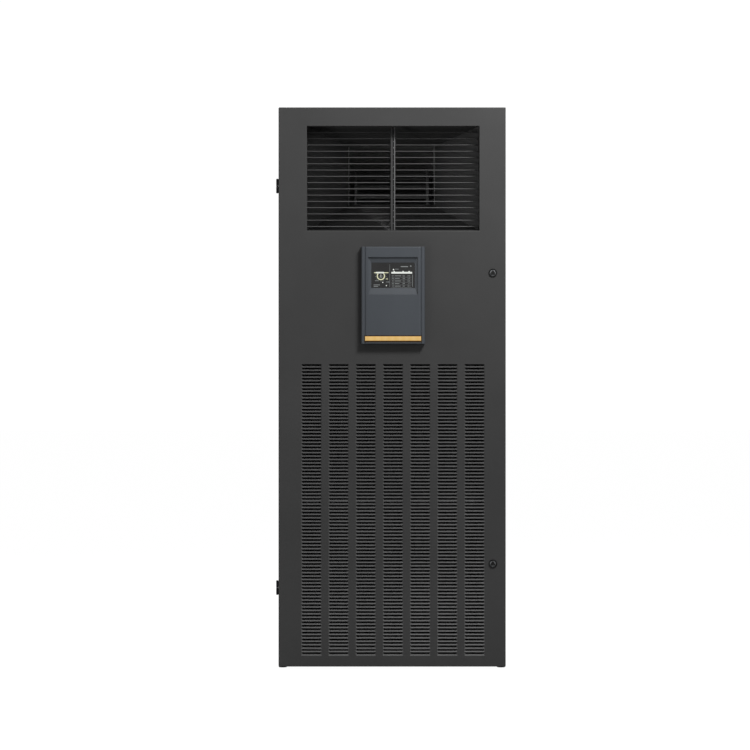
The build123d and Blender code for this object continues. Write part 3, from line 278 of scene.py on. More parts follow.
def bare_metal(name, colour, darker, shine, direction=(1.0, 1.0, 0.04), scale=420.0, metallic=0.95):
    """Rolled or machined metal with fine drawn lines and slight staining."""
    metal = Finish(name, Metallic=metallic)
    lines = metal.noise(scale, 2.0, 0.6, metal.stretched(direction))
    stain = metal.noise(14.0, 5.0, 0.6)
    metal.put(Base_Color=metal.between(metal.spread(stain, 0.0, 1.0), darker, colour),
              Roughness=metal.spread(lines * 0.5 + stain * 0.5, shine - 0.08, shine + 0.12))
    return metal.bump(lines, 0.00003)


def galvanised(name):
    """Zinc-coated sheet with its crystal spangle."""
    zinc = Finish(name, Metallic=0.85)
    crystals = 190.0
    shade = zinc.node("ShaderNodeSeparateColor", None, {0: zinc.cells(crystals, out="Color")})
    edge = zinc.cells(crystals, feature="DISTANCE_TO_EDGE")
    mixed = shade * 0.6 + zinc.noise(9.0, 4.0) * 0.4
    colours = zinc.between(zinc.spread(mixed, 0.0, 1.0, 0.2, 0.8), tone(146, 148, 150), tone(170, 172, 174))
    zinc.put(Base_Color=colours, Roughness=zinc.spread(mixed, 0.42, 0.54, 0.2, 0.8))
    return zinc.bump(zinc.spread(edge, 0.0, 1.0, 0.0, 0.06), 0.00002, 0.5)


def rubber(name):
    """Extruded rubber with a fine matt skin."""
    seal = Finish(name, Specular_IOR_Level=0.3)
    skin = seal.noise(700.0, 3.0, 0.7)
    bloom = seal.noise(12.0, 4.0)
    seal.put(Base_Color=seal.between(seal.spread(bloom, 0.0, 1.0), grey(26), grey(35.1)),
             Roughness=seal.spread(skin, 0.62, 0.85))
    return seal.bump(skin, 0.00006)


def copper_pipe(name):
    """Drawn copper with patches of brown oxide."""
    pipe = Finish(name, Metallic=1.0)
    oxide = pipe.noise(16.0, 5.0, 0.6)
    lines = pipe.noise(500.0, 2.0, 0.5, pipe.stretched((0.05, 0.05, 1.0)))
    brown, red, bright = tone(122, 72, 50), tone(184, 112, 78), tone(206, 140, 104)
    colours = pipe.ramp(oxide, (0.35, brown), (0.55, red), (0.7, bright))
    pipe.put(Base_Color=colours, Roughness=pipe.spread(oxide + lines * 0.2, 0.28, 0.5, 0.4, 0.9))
    return pipe.bump(lines, 0.00002)


def fin_pack(name):
    """Aluminium fins at a close pitch, with painted shade between the fins and patches of dust."""
    fins = Finish(name, Metallic=0.8)
    # Painted shade: the colour turns dark between the fins, at their pitch.
    depth = fins.axis("X").zigzag(0.0011)
    dust_and_painted_light = fins.noise(30.0, 4.0)
    bright = fins.between(fins.spread(depth, 0.0, 1.0, 0.2, 0.8), tone(62, 65, 68), tone(190, 192, 194))
    fins.put(Base_Color=fins.between(fins.spread(dust_and_painted_light, 0.0, 0.35), bright, tone(110, 108, 102)),
             Roughness=fins.spread(dust_and_painted_light, 0.32, 0.55))
    return fins.bump(depth, 0.0006)


def filter_card(name):
    """Pressed card with long fibres."""
    card = Finish(name, Roughness=0.9, Specular_IOR_Level=0.2)
    fibre = card.noise(260.0, 5.0, 0.7, card.stretched((1.0, 1.0, 0.3)))
    card.put(Base_Color=card.between(card.spread(fibre, 0.0, 1.0), tone(36, 36, 38), tone(52, 52, 54)))
    return card.bump(fibre, 0.00012)


def dark_glass(name):
    """Cover glass over a dark display."""
    glass = Finish(name, Specular_IOR_Level=0.5, Coat_Roughness=0.04)
    smear = glass.noise(26.0, 4.0, 0.6)
    glow = glass.noise(9.0, 2.0)
    return glass.put(Base_Color=glass.between(glass.spread(glow, 0.0, 1.0), grey(34), grey(42)),
                     Roughness=glass.spread(smear, 0.12, 0.24), Coat_Weight=glass.spread(smear, 0.5, 0.8))


def lit_mark(name, colour):
    """A lit mark of the display, with the faint rows of its picture points."""
    mark = Finish(name, Roughness=0.5, Specular_IOR_Level=0.2, Emission_Strength=1.0)
    rows = mark.axis("Z").zigzag(0.0003)
    dimmer = tuple(0.7 * part for part in colour)
    shade = mark.between(mark.spread(rows, 0.0, 0.3, 0.0, 1.0), colour, dimmer)
    return mark.put(Base_Color=grey(20), Emission_Color=shade)


def glow_lens(name):
    """Diffusing lens of the light bar, brighter where its lamps stand and darker along its rim."""
    lens = Finish(name, Roughness=0.42, Specular_IOR_Level=0.4, Emission_Strength=0.72)
    lamps = (lens.axis("X") + 0.1).zigzag(0.0117)
    bar_middle, bar_half = 1.0873, 0.0075
    outward = abs(lens.axis("Z") - bar_middle) / bar_half
    haze = lens.noise(45.0, 3.0)
    cloud = lens.spread(lamps * 0.5 + haze * 0.5, 0.0, 1.0, 0.2, 0.8)
    warm = lens.between(cloud, tone(216, 184, 110), tone(224, 196, 130))
    rim = lens.between(lens.spread(outward, 0.0, 1.0, 0.72, 1.0), warm, tone(186, 136, 62))
    return lens.put(Base_Color=tone(120, 84, 44), Emission_Color=rim)


PAINT = powder_coat("charcoal_powder_coat", 56, 0.44)
# Painted shade: the cabinet's charcoal is set darker than the door's, so its strips beside the door look
# shaded.
SHADED_CABINET = powder_coat("cabinet_powder_coat_shaded", 46, 0.66, gloss=0.12)
# The blades are paler towards the lowest blade and darker towards the top.
BLADE = powder_coat("blade_satin_paint", 66, 0.36, 0.00003, ("Z", 0.2, 1.45, 1.78))
# Painted light: the louvres, pressed in the door's own paint, are set paler than the door, and paler still
# towards the bottom rows.
LIT_LOUVRE = powder_coat("louvre_painted_light", 64, 0.4, 0.00004, ("Z", 0.3, 0.05, 1.1))
# Painted highlight: the right face of the centre post is set paler, as if it caught the key lamp.
POST_HIGHLIGHT = powder_coat("post_edge_painted_highlight", 88, 0.32, 0.00003)
# Painted light: the blower and its wheel are set pale in place of their slot's finish, so the dim inside
# behind the blades reads lighter.
BLOWER_PAINTED_LIGHT = powder_coat("blower_painted_light", 170, 0.6)
WHEEL_PAINTED_LIGHT = powder_coat("wheel_painted_light", 120, 0.6)
# Painted light and shade: the outlet duct's dark lining is set much paler than its paint, palest at the front
# and darker deep inside.
LINING_PAINTED_LIGHT = powder_coat("outlet_lining_painted_light", 76, 0.7, 0.00012, ("Y", 0.3, -0.175, -0.085))
GALVANISED = galvanised("galvanised_sheet")
ZINC = bare_metal("bright_zinc", tone(178, 180, 182), tone(140, 142, 146), 0.3)
DARK_ZINC = bare_metal("black_zinc", tone(58, 58, 60), tone(34, 34, 36), 0.42, (1.0, 1.0, 1.0), 300.0, 0.6)
DISH = bare_metal("lock_dish_zinc", tone(132, 134, 136), tone(104, 106, 108), 0.45, metallic=0.6)
SHELL = moulded_plastic("slate_plastic", tone(66, 70, 75), tone(60, 64, 69))
BLACK = moulded_plastic("black_plastic", grey(30), grey(24), 0.5)
GREY = moulded_plastic("grey_plastic", tone(168, 172, 174), tone(154, 158, 160), 0.42)
RED = moulded_plastic("red_plastic", tone(186, 34, 26), tone(166, 28, 22), 0.36)
WHITE = moulded_plastic("white_plastic", tone(218, 218, 212), tone(204, 203, 196), 0.4)
RUBBER = rubber("seal_rubber")
COPPER = copper_pipe("copper_pipe")
FINS_PAINTED_SHADE = fin_pack("aluminium_fins_painted_shade")
GLASS = dark_glass("display_glass")
LENS = glow_lens("amber_lens")
PAD = moulded_plastic("foot_plastic", grey(74), grey(60), 0.5)
CARD = filter_card("filter_card")
TANK = powder_coat("compressor_paint", 30, 0.34, 0.00012)
MOTOR = powder_coat("motor_paint", 112, 0.42, 0.0001)
# Matt black: the lock cases' and rotors' own colour, and painted shade in the groove of the centre post.
MATT_BLACK_AND_GROOVE_SHADE = powder_coat("matt_black_and_groove_shade", 14, 0.7)
# Painted shade: the dark brown seat round the amber lens stands in for the shade round the lens and its
# shadow below.
SEAT_PAINTED_SHADE = moulded_plastic("brown_lens_seat_painted_shade", tone(46, 32, 16), tone(38, 26, 12), 0.5)
MARK_WHITE = lit_mark("display_white", tone(232, 236, 230))
MARK_CREAM = lit_mark("display_cream", tone(222, 222, 186))
MARK_DIM = lit_mark("display_grey", tone(136, 140, 140))

SLOT_FINISHES = {
    "cabinet_paint": SHADED_CABINET, "door_paint": PAINT, "blade_paint": BLADE, "galvanised_steel": GALVANISED,
    "zinc_steel": ZINC, "dark_zinc": DARK_ZINC, "controller_plastic": SHELL, "screen_glass": GLASS,
    "light_bar_lens": LENS, "black_plastic": BLACK, "grey_plastic": GREY, "red_plastic": RED,
    "white_plastic": WHITE, "seal_rubber": RUBBER, "copper": COPPER, "coil_fins": FINS_PAINTED_SHADE,
    "compressor_black": TANK, "motor_paint": MOTOR, "filter_card": CARD,
}
NODE_FINISHES = {"outlet_duct": LINING_PAINTED_LIGHT, "blower_housing": BLOWER_PAINTED_LIGHT, "blower_wheel": WHEEL_PAINTED_LIGHT}


def coat_nodes():
    """Finish the frame's own nodes by their slots, and a few by their names."""
    for name, node in nodes.items():
        for held in node.material_slots:
            finish = NODE_FINISHES.get(name) or SLOT_FINISHES[held.material.name.split(".")[0]]
            held.material = finish.material


coat_nodes()


# Meshes

def around(centre, radius, angles):
    """Points on a circle, at angles in degrees."""
    turns = [math.radians(angle) for angle in angles]
    return [(centre[0] + radius * math.cos(turn), centre[1] + radius * math.sin(turn)) for turn in turns]


def rounded(x0, x1, z0, z1, radius, steps=4):
    """Corner points of a rounded rectangle."""
    points = []
    for cx, cz, start in ((x1 - radius, z1 - radius, 0), (x0 + radius, z1 - radius, 90),
                          (x0 + radius, z0 + radius, 180), (x1 - radius, z0 + radius, 270)):
        points += around((cx, cz), radius, [start + 90 * step / steps for step in range(steps + 1)])
    return points


class Form:
    """Points and faces of one piece, in millimetres."""

    def __init__(self):
        self.points = []
        self.faces = []

    def add(self, points, faces):
        first = len(self.points)
        self.points += [tuple(point) for point in points]
        self.faces += [tuple(first + index for index in face) for face in faces]
        return self

    def quad(self, *corners):
        return self.add(corners, [tuple(range(len(corners)))])

    def box(self, x0, x1, y0, y1, z0, z1):
        corners = [(x, y, z) for x in (x0, x1) for y in (y0, y1) for z in (z0, z1)]
        faces = [(0, 1, 3, 2), (4, 6, 7, 5), (0, 4, 5, 1), (2, 3, 7, 6), (0, 2, 6, 4), (1, 5, 7, 3)]
        return self.add(corners, faces)

    def sweep(self, outline, axis, start, end, closed=True):
        """An outline of the other two coordinates carried along an axis, with flat ends where closed."""
        before = "XYZ".index(axis)
        count = len(outline)
        faces = [(i, (i + 1) % count, count + (i + 1) % count, count + i) for i in range(count)]
        if closed:
            faces += [tuple(range(count))[::-1], tuple(range(count, 2 * count))]
        points = [(*pair[:before], place, *pair[before:]) for place in (start, end) for pair in outline]
        return self.add(points, faces)

    def turned(self, profile, centre, axis="Y", steps=32):
        """A profile of radius and height turned round an axis through a centre, closed at its ends."""
        points = []
        for radius, height in profile:
            for step in range(steps):
                angle = 2 * math.pi * step / steps
                a, b = radius * math.cos(angle), radius * math.sin(angle)
                offset = {"X": (height, a, b), "Y": (b, height, a), "Z": (a, b, height)}[axis]
                points.append(tuple(c + o for c, o in zip(centre, offset)))
        faces = []
        for low in range(0, (len(profile) - 1) * steps, steps):
            for step in range(steps):
                following = (step + 1) % steps
                faces.append((low + step, low + following, low + steps + following, low + steps + step))
        faces += [tuple(range(steps))[::-1], tuple(range((len(profile) - 1) * steps, len(profile) * steps))]
        return self.add(points, faces)

    def piece(self, name, finish, smooth=True, local=False):
        """Make the object, its faces turned outwards; a local one keeps its own origin."""
        mesh = bpy.data.meshes.new(name)
        places = [Vector(p) / 1000.0 for p in self.points] if local else [spot(*p) for p in self.points]
        mesh.from_pydata(places, [], self.faces)
        work = bmesh.new()
        work.from_mesh(mesh)
        bmesh.ops.remove_doubles(work, verts=work.verts, dist=1e-6)
        bmesh.ops.recalc_face_normals(work, faces=work.faces)
        work.to_mesh(mesh)
        work.free()
        for face in mesh.polygons:
            face.use_smooth = smooth
        mesh.materials.append(finish.material)
        made = bpy.data.objects.new(name, mesh)
        scene.collection.objects.link(made)
        return made


def bevel(piece, width, segments=2, angle=32.0):
    made = piece.modifiers.new("Edges", "BEVEL")
    made.width = width / 1000.0
    made.segments = segments
    made.limit_method = "ANGLE"
    made.angle_limit = math.radians(angle)
    return piece


def thicken(piece, thickness):
    made = piece.modifiers.new("Thickness", "SOLIDIFY")
    made.thickness = thickness / 1000.0
    made.offset = -1.0
    made.use_even_offset = True
    return piece


def keep(piece):
    """Keep the modifiers' result as a plain mesh."""
    kept = bpy.data.meshes.new_from_object(piece.evaluated_get(bpy.context.evaluated_depsgraph_get()))
    piece.modifiers.clear()
    piece.data = kept
    return piece


def settle(piece):
    """Weight the normals towards the large faces, and keep the result."""
    made = piece.modifiers.new("Normals", "WEIGHTED_NORMAL")
    made.weight = 100
    made.keep_sharp = True
    return keep(piece)


def join(name, *pieces):
    """Several meshes as one piece, each keeping its finish."""
    kept = pieces[0]
    with bpy.context.temp_override(active_object=kept, selected_editable_objects=list(pieces)):
        bpy.ops.object.join()
    kept.name = name
    kept.data.name = name
    return kept


def carry(piece, body, slot, *replaced):
    """Let a piece ride on its body, and stand for the frame's nodes."""
    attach(piece, body)
    if replaced:
        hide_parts(*replaced)
    return piece


# Geometry Nodes for what repeats

def new_tree(name, inputs):
    tree = bpy.data.node_groups.new(name, "GeometryNodeTree")
    for label, kind in inputs:
        tree.interface.new_socket(label, in_out="INPUT", socket_type=kind)
    tree.interface.new_socket("Geometry", in_out="OUTPUT", socket_type="NodeSocketGeometry")
    return tree


def add_node(tree, kind, settings=None, inputs=None):
    made = tree.nodes.new(kind)
    for key, value in (settings or {}).items():
        setattr(made, key, value)
    for key, value in (inputs or {}).items():
        if isinstance(value, bpy.types.NodeSocket):
            tree.links.new(value, made.inputs[key])
        else:
            made.inputs[key].default_value = value
    return made


def end_tree(tree, instances, finish):
    """Close a tree with Realize Instances and Set Material."""
    real = add_node(tree, "GeometryNodeRealizeInstances", None, {0: instances})
    coat = add_node(tree, "GeometryNodeSetMaterial", None, {"Geometry": real.outputs[0], "Material": finish})
    add_node(tree, "NodeGroupOutput", None, {0: coat.outputs[0]})
    return tree


def grid_tree():
    """Copies of a piece in columns and rows."""
    tree = new_tree("columns_and_rows", [
        ("Piece", "NodeSocketObject"), ("Finish", "NodeSocketMaterial"), ("Columns", "NodeSocketInt"),
        ("Rows", "NodeSocketInt"), ("Column Step", "NodeSocketVector"), ("Row Step", "NodeSocketVector"),
        ("First Place", "NodeSocketVector")])
    given = tree.nodes.new("NodeGroupInput").outputs
    line = add_node(tree, "GeometryNodeMeshLine", {"mode": "OFFSET"}, {
        "Count": given["Columns"], "Start Location": given["First Place"], "Offset": given["Column Step"]})
    column = add_node(tree, "GeometryNodeMeshLine", {"mode": "OFFSET"},
                      {"Count": given["Rows"], "Offset": given["Row Step"]})
    places = add_node(tree, "GeometryNodeInstanceOnPoints", None,
                      {"Points": line.outputs[0], "Instance": column.outputs[0]})
    points = add_node(tree, "GeometryNodeRealizeInstances", None, {0: places.outputs[0]})
    piece = add_node(tree, "GeometryNodeObjectInfo", None, {"Object": given["Piece"], "As Instance": True})
    copies = add_node(tree, "GeometryNodeInstanceOnPoints", None,
                      {"Points": points.outputs[0], "Instance": piece.outputs["Geometry"]})
    return end_tree(tree, copies.outputs[0], given["Finish"])


def spot_tree():
    """Copies of a fastener at given places, each turned by its own fixed angle."""
    tree = new_tree("fasteners_at_places", [
        ("Geometry", "NodeSocketGeometry"), ("Piece", "NodeSocketObject"), ("Finish", "NodeSocketMaterial"),
        ("Facing", "NodeSocketVector")])
    given = tree.nodes.new("NodeGroupInput").outputs
    largest_turn, seed = 3.14, 7
    turn = add_node(tree, "FunctionNodeRandomValue", {"data_type": "FLOAT"}, {3: largest_turn, "Seed": seed})
    about_z = add_node(tree, "ShaderNodeCombineXYZ", None, {"Z": turn.outputs[1]})
    piece = add_node(tree, "GeometryNodeObjectInfo", None, {"Object": given["Piece"], "As Instance": True})
    copies = add_node(tree, "GeometryNodeInstanceOnPoints", None, {
        "Points": given["Geometry"], "Instance": piece.outputs["Geometry"], "Rotation": given["Facing"]})
    spun = add_node(tree, "GeometryNodeRotateInstances", None,
                    {"Instances": copies.outputs[0], "Rotation": about_z.outputs[0]})
    return end_tree(tree, spun.outputs[0], given["Finish"])


def grow(name, tree, values, places=()):
    """Run a tree once on a new object and keep its result as a plain mesh."""
    mesh = bpy.data.meshes.new(name)
    mesh.from_pydata([spot(*place) for place in places], [], [])
    holder = bpy.data.objects.new(name, mesh)
    scene.collection.objects.link(holder)
    modifier = holder.modifiers.new("Repeat", "NODES")
    modifier.node_group = tree
    for item in tree.interface.items_tree:
        if item.in_out == "INPUT" and item.name in values:
            modifier[item.identifier] = values[item.name]
    return keep(holder)


def grid(name, template, finish, columns, rows, column_pitch, row_pitch, first):
    """Copies of a local piece in columns and rows from its first place; the template goes."""
    made = grow(name, grid_tree(), {
        "Piece": template, "Finish": finish.material, "Columns": columns, "Rows": rows,
        "Column Step": (column_pitch / 1000.0, 0.0, 0.0), "Row Step": (0.0, 0.0, row_pitch / 1000.0),
        "First Place": tuple(spot(*first))})
    bpy.data.objects.remove(template)
    return made


def fasten(name, template, finish, places, facing):
    """Copies of a local fastener at a list of places; the template goes."""
    made = grow(name, spot_tree(), {"Piece": template, "Finish": finish.material, "Facing": facing}, places)
    bpy.data.objects.remove(template)
    return made


# Sheets of cells in X and Z, with walls round their areas

def face_of(y):
    """A flat surface at a depth."""
    return lambda x, z: (x, y, z)


def sunk(surface, depth):
    """A surface set back by a depth."""
    def lower(x, z):
        across, y, up = surface(x, z)
        return (across, y + depth, up)
    return lower


def drawn_in(area, inset, y):
    """A flat surface whose points are drawn in from the edges of an area."""
    left, right, low, high = area
    return lambda x, z: (min(max(x, left + inset), right - inset), y, min(max(z, low + inset), high - inset))


def sheet(form, xs, zs, holes, surface):
    """The cells of a surface whose middle lies in none of the holes."""
    for x0, x1 in zip(xs, xs[1:]):
        for z0, z1 in zip(zs, zs[1:]):
            x, z = (x0 + x1) / 2, (z0 + z1) / 2
            if not any(left < x < right and low < z < high for left, right, low, high in holes):
                form.quad(surface(x0, z0), surface(x1, z0), surface(x1, z1), surface(x0, z1))


def walls(form, xs, zs, area, *surfaces):
    """Walls round an area, from each surface to the next."""
    inside_xs = [x for x in xs if area[0] <= x <= area[1]]
    inside_zs = [z for z in zs if area[2] <= z <= area[3]]
    for upper, lower in zip(surfaces, surfaces[1:]):
        for a, b in zip(inside_xs, inside_xs[1:]):
            for z in area[2:]:
                form.quad(upper(a, z), upper(b, z), lower(b, z), lower(a, z))
        for a, b in zip(inside_zs, inside_zs[1:]):
            for x in area[:2]:
                form.quad(upper(x, a), upper(x, b), lower(x, b), lower(x, a))


def face_forward(piece, front):
    """Turn all faces round where the flat ones at the front look backwards."""
    near = spot(0, front + 1.0, 0).y
    flat = [face for face in piece.data.polygons if abs(face.normal.y) > 0.995 and face.center.y < near]
    if flat[0].normal.y > 0:
        piece.data.flip_normals()


# Door

def louvre_columns():
    """The middles of the louvre columns, from left to right."""
    middle = (LOUVRE_COLUMNS - 1) / 2
    return [DOOR_X + (column - middle) * LOUVRE_PITCH_X for column in range(LOUVRE_COLUMNS)]


def door_holes():
    """Areas that are cut from the door's front sheet."""
    half = LOUVRE_WINDOW / 2
    holes = [(x - half, x + half, LOUVRE_LOW, LOUVRE_HIGH) for x in louvre_columns()]
    left, right = LOCK_X - LOCK_HOLE, LOCK_X + LOCK_HOLE
    locks = [(left, right, z - LOCK_HOLE, z + LOCK_HOLE) for z in LOCK_HEIGHTS.values()]
    return [*holes, OUTLET, CONTROL_HOLE, *locks]


def make_door():
    """Folded door pan: front sheet with its windows, flanges, back lips and the outlet's returns."""
    holes = door_holes()
    xs = sorted({x for area in (DOOR, *holes) for x in area[:2]})
    zs = sorted({z for area in (DOOR, *holes) for z in area[2:]})
    front = face_of(DOOR_FRONT)
    form = Form()
    sheet(form, xs, zs, holes, front)
    walls(form, xs, zs, DOOR, front, face_of(DOOR_BACK), drawn_in(DOOR, DOOR_LIP, DOOR_BACK))
    walls(form, xs, zs, OUTLET, front, sunk(front, OUTLET_RETURN))
    door = form.piece("door_pan", PAINT)
    face_forward(door, DOOR_FRONT)
    thicken(bevel(door, DOOR_FOLD, 3), SHEET)
    carry(settle(door), "front_door", "door_paint", "door_skin")


def louvre_template():
    """One pressed louvre: a land, a slope that runs inwards and up, and two turned-in ends."""
    half = LOUVRE_WINDOW / 2
    rows = [(0.0, 0.0, half), (0.0, LOUVRE_LAND, half), (0.7, LOUVRE_LAND + 0.35, half - 0.4),
            (LOUVRE_DEPTH - 0.6, LOUVRE_RISE - 0.25, half - 4.4),
            (LOUVRE_DEPTH, LOUVRE_RISE + 0.35, half - 5.0)]
    form = Form()
    for (y0, z0, x0), (y1, z1, x1) in zip(rows, rows[1:]):
        form.quad((-x0, y0, z0), (x0, y0, z0), (x1, y1, z1), (-x1, y1, z1))
    for sign in (-1, 1):
        corner = (sign * half, 0.0, LOUVRE_PITCH_Z)
        middle = (sign * (half - 1.6), 2.2, LOUVRE_RISE + 2.4)
        low, bend, high, edge = [(sign * x, y, z) for y, z, x in rows[1:]]
        form.quad(low, bend, corner)
        form.quad(bend, high, middle, corner)
        form.quad(high, edge, middle)
    template = form.piece("louvre_template", LIT_LOUVRE, smooth=False, local=True)
    if sum(face.normal.y for face in template.data.polygons) > 0:
        template.data.flip_normals()
    return keep(thicken(template, LOUVRE_SHEET))


def make_louvres():
    """The louvres of all windows, one piece behind the door's front."""
    made = grid("door_louvres", louvre_template(), LIT_LOUVRE, LOUVRE_COLUMNS, LOUVRE_ROWS,
                LOUVRE_PITCH_X, LOUVRE_PITCH_Z, (louvre_columns()[0], DOOR_FRONT, LOUVRE_LOW))
    carry(made, "front_door", "door_paint", "door_louvre_insert")


make_door()
make_louvres()


# Outlet grille

def blade_height(index):
    """Height of the axis of a blade; the lowest blade has the index 0."""
    return BLADE_LOW + index * BLADE_PITCH


def blade_outline(y, z):
    """Section of a blade: rolled front edge, flat web and a thin tail."""
    front, back = y - BLADE_REACH, y + BLADE_REACH
    turns = [math.radians(angle) for angle in (0, 35, 70, 110, 145, 180)]
    nose = [(front + NOSE - NOSE * math.sin(turn), z + NOSE * math.cos(turn)) for turn in turns]
    return nose + [(front + 3.4, z - 0.75), (back - 0.8, z - 0.6), (back, z - 0.25), (back, z + 0.25),
                   (back - 0.8, z + 0.6), (front + 3.4, z + 0.75)]


def make_blade(index):
    """One blade of two banks on its tangs, with the crank and its pin between the banks."""
    z = blade_height(index)
    left, right = OUTLET[0] + 1.0, OUTLET[1] - 1.0
    bank_left, bank_right = DOOR_X - BANK_GAP, DOOR_X + BANK_GAP
    form = Form()
    form.sweep(blade_outline(BLADE_Y, z), "X", left, bank_left)
    form.sweep(blade_outline(BLADE_Y, z), "X", bank_right, right)
    for x0, x1 in ((OUTLET[0] - TANG_REACH, left + TANG_LAP), (bank_left - TANG_LAP, bank_right + TANG_LAP),
                   (right - TANG_LAP, OUTLET[1] + TANG_REACH)):
        form.box(x0, x1, BLADE_Y - TANG_HALF, BLADE_Y + TANG_HALF, z - 1.0, z + 1.0)
    arm = DOOR_X - LINK_HALF - LINK_PLAY - CRANK_SHEET
    pin_y = BLADE_Y + PIN_REACH
    form.box(arm, arm + CRANK_SHEET, BLADE_Y - TANG_HALF, pin_y + 2.2, z - 1.5, z + 1.5)
    form.turned([(1.45, 0.0), (1.45, 5.2), (1.0, 5.6)], (arm, pin_y, z), "X", 12)
    piece = form.piece(f"outlet_vane_{index + 1:02d}", BLADE)
    piece.data.set_sharp_from_angle(angle=math.radians(38))
    carry(piece, f"outlet_blade_{index + 1:02d}", "blade_paint", f"outlet_blade_{index + 1:02d}")


def make_post():
    """Centre post: two faces and the groove between them, with a rivet between every two blades; the groove
    is painted black as painted shade, and the right face paler as a painted highlight.
    """
    x0, x1 = DOOR_X - POST_WIDTH / 2, DOOR_X + POST_WIDTH / 2
    groove_left, groove_right = x0 + RIB_WIDTH, x0 + RIB_WIDTH + GROOVE_WIDTH
    outline = [(x0, POST_BACK), (x0, POST_FACE), (groove_left, POST_FACE), (groove_left, POST_WEB),
               (groove_right, POST_WEB), (groove_right, POST_FACE), (x1, POST_FACE), (x1, POST_BACK)]
    form = Form().sweep(outline, "Z", OUTLET[2], OUTLET[3])
    post = settle(bevel(form.piece("post_profile", PAINT), 0.7))
    post.data.materials.append(MATT_BLACK_AND_GROOVE_SHADE.material)
    post.data.materials.append(POST_HIGHLIGHT.material)
    # The right face takes the painted highlight, and the faces inside the groove take the painted shade.
    groove, rib = spot(groove_left - 0.2, 0, 0).x, spot(groove_right - 0.1, 0, 0).x
    for face in post.data.polygons:
        if face.center.x > rib:
            face.material_index = 2
        elif face.center.x > groove and face.center.y > spot(0, POST_FACE + 0.8, 0).y:
            face.material_index = 1
    rivet = Form().turned([(1.5, 0.0), (1.45, 0.5), (1.0, 1.0), (0.4, 1.2)], (0, 0, 0), "Z", 12)
    places = [((groove_left + groove_right) / 2, POST_WEB, blade_height(index) + BLADE_PITCH / 2)
              for index in range(BLADES - 1)]
    to_front = (math.radians(90), 0.0, 0.0)
    rivets = fasten("post_rivets", rivet.piece("rivet_template", ZINC, local=True), ZINC, places, to_front)
    carry(join("centre_post", post, rivets), "cabinet", "blade_paint", "grille_mullion")


for number in range(BLADES):
    make_blade(number)
make_post()


# Controller

def fall(distance, radius):
    """How far a rounded edge has dropped at a distance from the side."""
    if distance >= radius:
        return 0.0
    return radius - math.sqrt(radius * radius - (radius - distance) ** 2)


def side_profile(inward):
    """Depth of the housing's face behind its front, at a distance in from its side."""
    if inward <= RAIL_END:
        return 1.1 + fall(inward, SIDE_ROUNDING) * 0.95
    if inward < SLIT[0]:
        return 1.4
    if inward <= SLIT[1]:
        return 3.2
    if inward < SLOPE[0]:
        return 1.6
    return max(0.0, 1.0 - (inward - SLOPE[0]) / (SLOPE[1] - SLOPE[0]))


def control_face(x, z):
    """A point on the housing's face."""
    across = side_profile(min(x - CONTROL[0], CONTROL[1] - x))
    upright = fall(min(z - CONTROL[2], CONTROL[3] - z), EDGE_ROUNDING)
    return (x, CONTROL_FRONT + max(across, upright), z)


def mouth_foot(x, z):
    """The point at the foot of the mouth's slope that lies inwards of a point of its rim."""
    share_x = (x - MOUTH[0]) / (MOUTH[1] - MOUTH[0])
    share_z = (z - MOUTH[2]) / (MOUTH[3] - MOUTH[2])
    return (SCREEN[0] + share_x * (SCREEN[1] - SCREEN[0]), CONTROL_FRONT + MOUTH_DEPTH,
            SCREEN[2] + share_z * (SCREEN[3] - SCREEN[2]))


def make_controller():
    """Moulded housing: rounded shell, side slits, the sloped mouth of the screen, and the lens's seat."""
    across = [0.0, 0.4, 1.2, 2.4, 4.0, SIDE_ROUNDING, 11.2, SLIT[0], 12.3, SLIT[1], *SLOPE]
    upwards = [0.0, 0.25, 0.7, 1.5, EDGE_ROUNDING]
    xs = sorted({*(CONTROL[0] + s for s in across), *(CONTROL[1] - s for s in across),
                 *MOUTH[:2], *SEAT[:2]})
    zs = sorted({*(CONTROL[2] + s for s in upwards), *(CONTROL[3] - s for s in upwards),
                 *MOUTH[2:], *SEAT[2:]})
    form = Form()
    sheet(form, xs, zs, (MOUTH, SEAT), control_face)
    walls(form, xs, zs, MOUTH, control_face, sunk(control_face, MOUTH_STEP),
          mouth_foot, sunk(mouth_foot, SCREEN_SINK))
    walls(form, xs, zs, SEAT, control_face, *(sunk(control_face, level) for level in SEAT_LEVELS))
    shoulder = drawn_in(CONTROL, CONTROL_INSET, DOOR_FRONT)
    walls(form, xs, zs, CONTROL, control_face, face_of(DOOR_FRONT), shoulder, sunk(shoulder, CONTROL_REACH))
    shell = form.piece("controller_shell", SHELL)
    face_forward(shell, CONTROL_FRONT)
    thicken(bevel(shell, 0.5, 2, 24.0), 2.2)
    carry(settle(shell), "front_door", "controller_plastic", "controller_housing")


SEGMENTS = {"0": "abcdef", "1": "bc", "2": "abged", "3": "abgcd", "4": "fgbc", "5": "afgcd", "6": "afgcde",
            "7": "abc", "8": "abcdefg", "9": "abcdfg"}


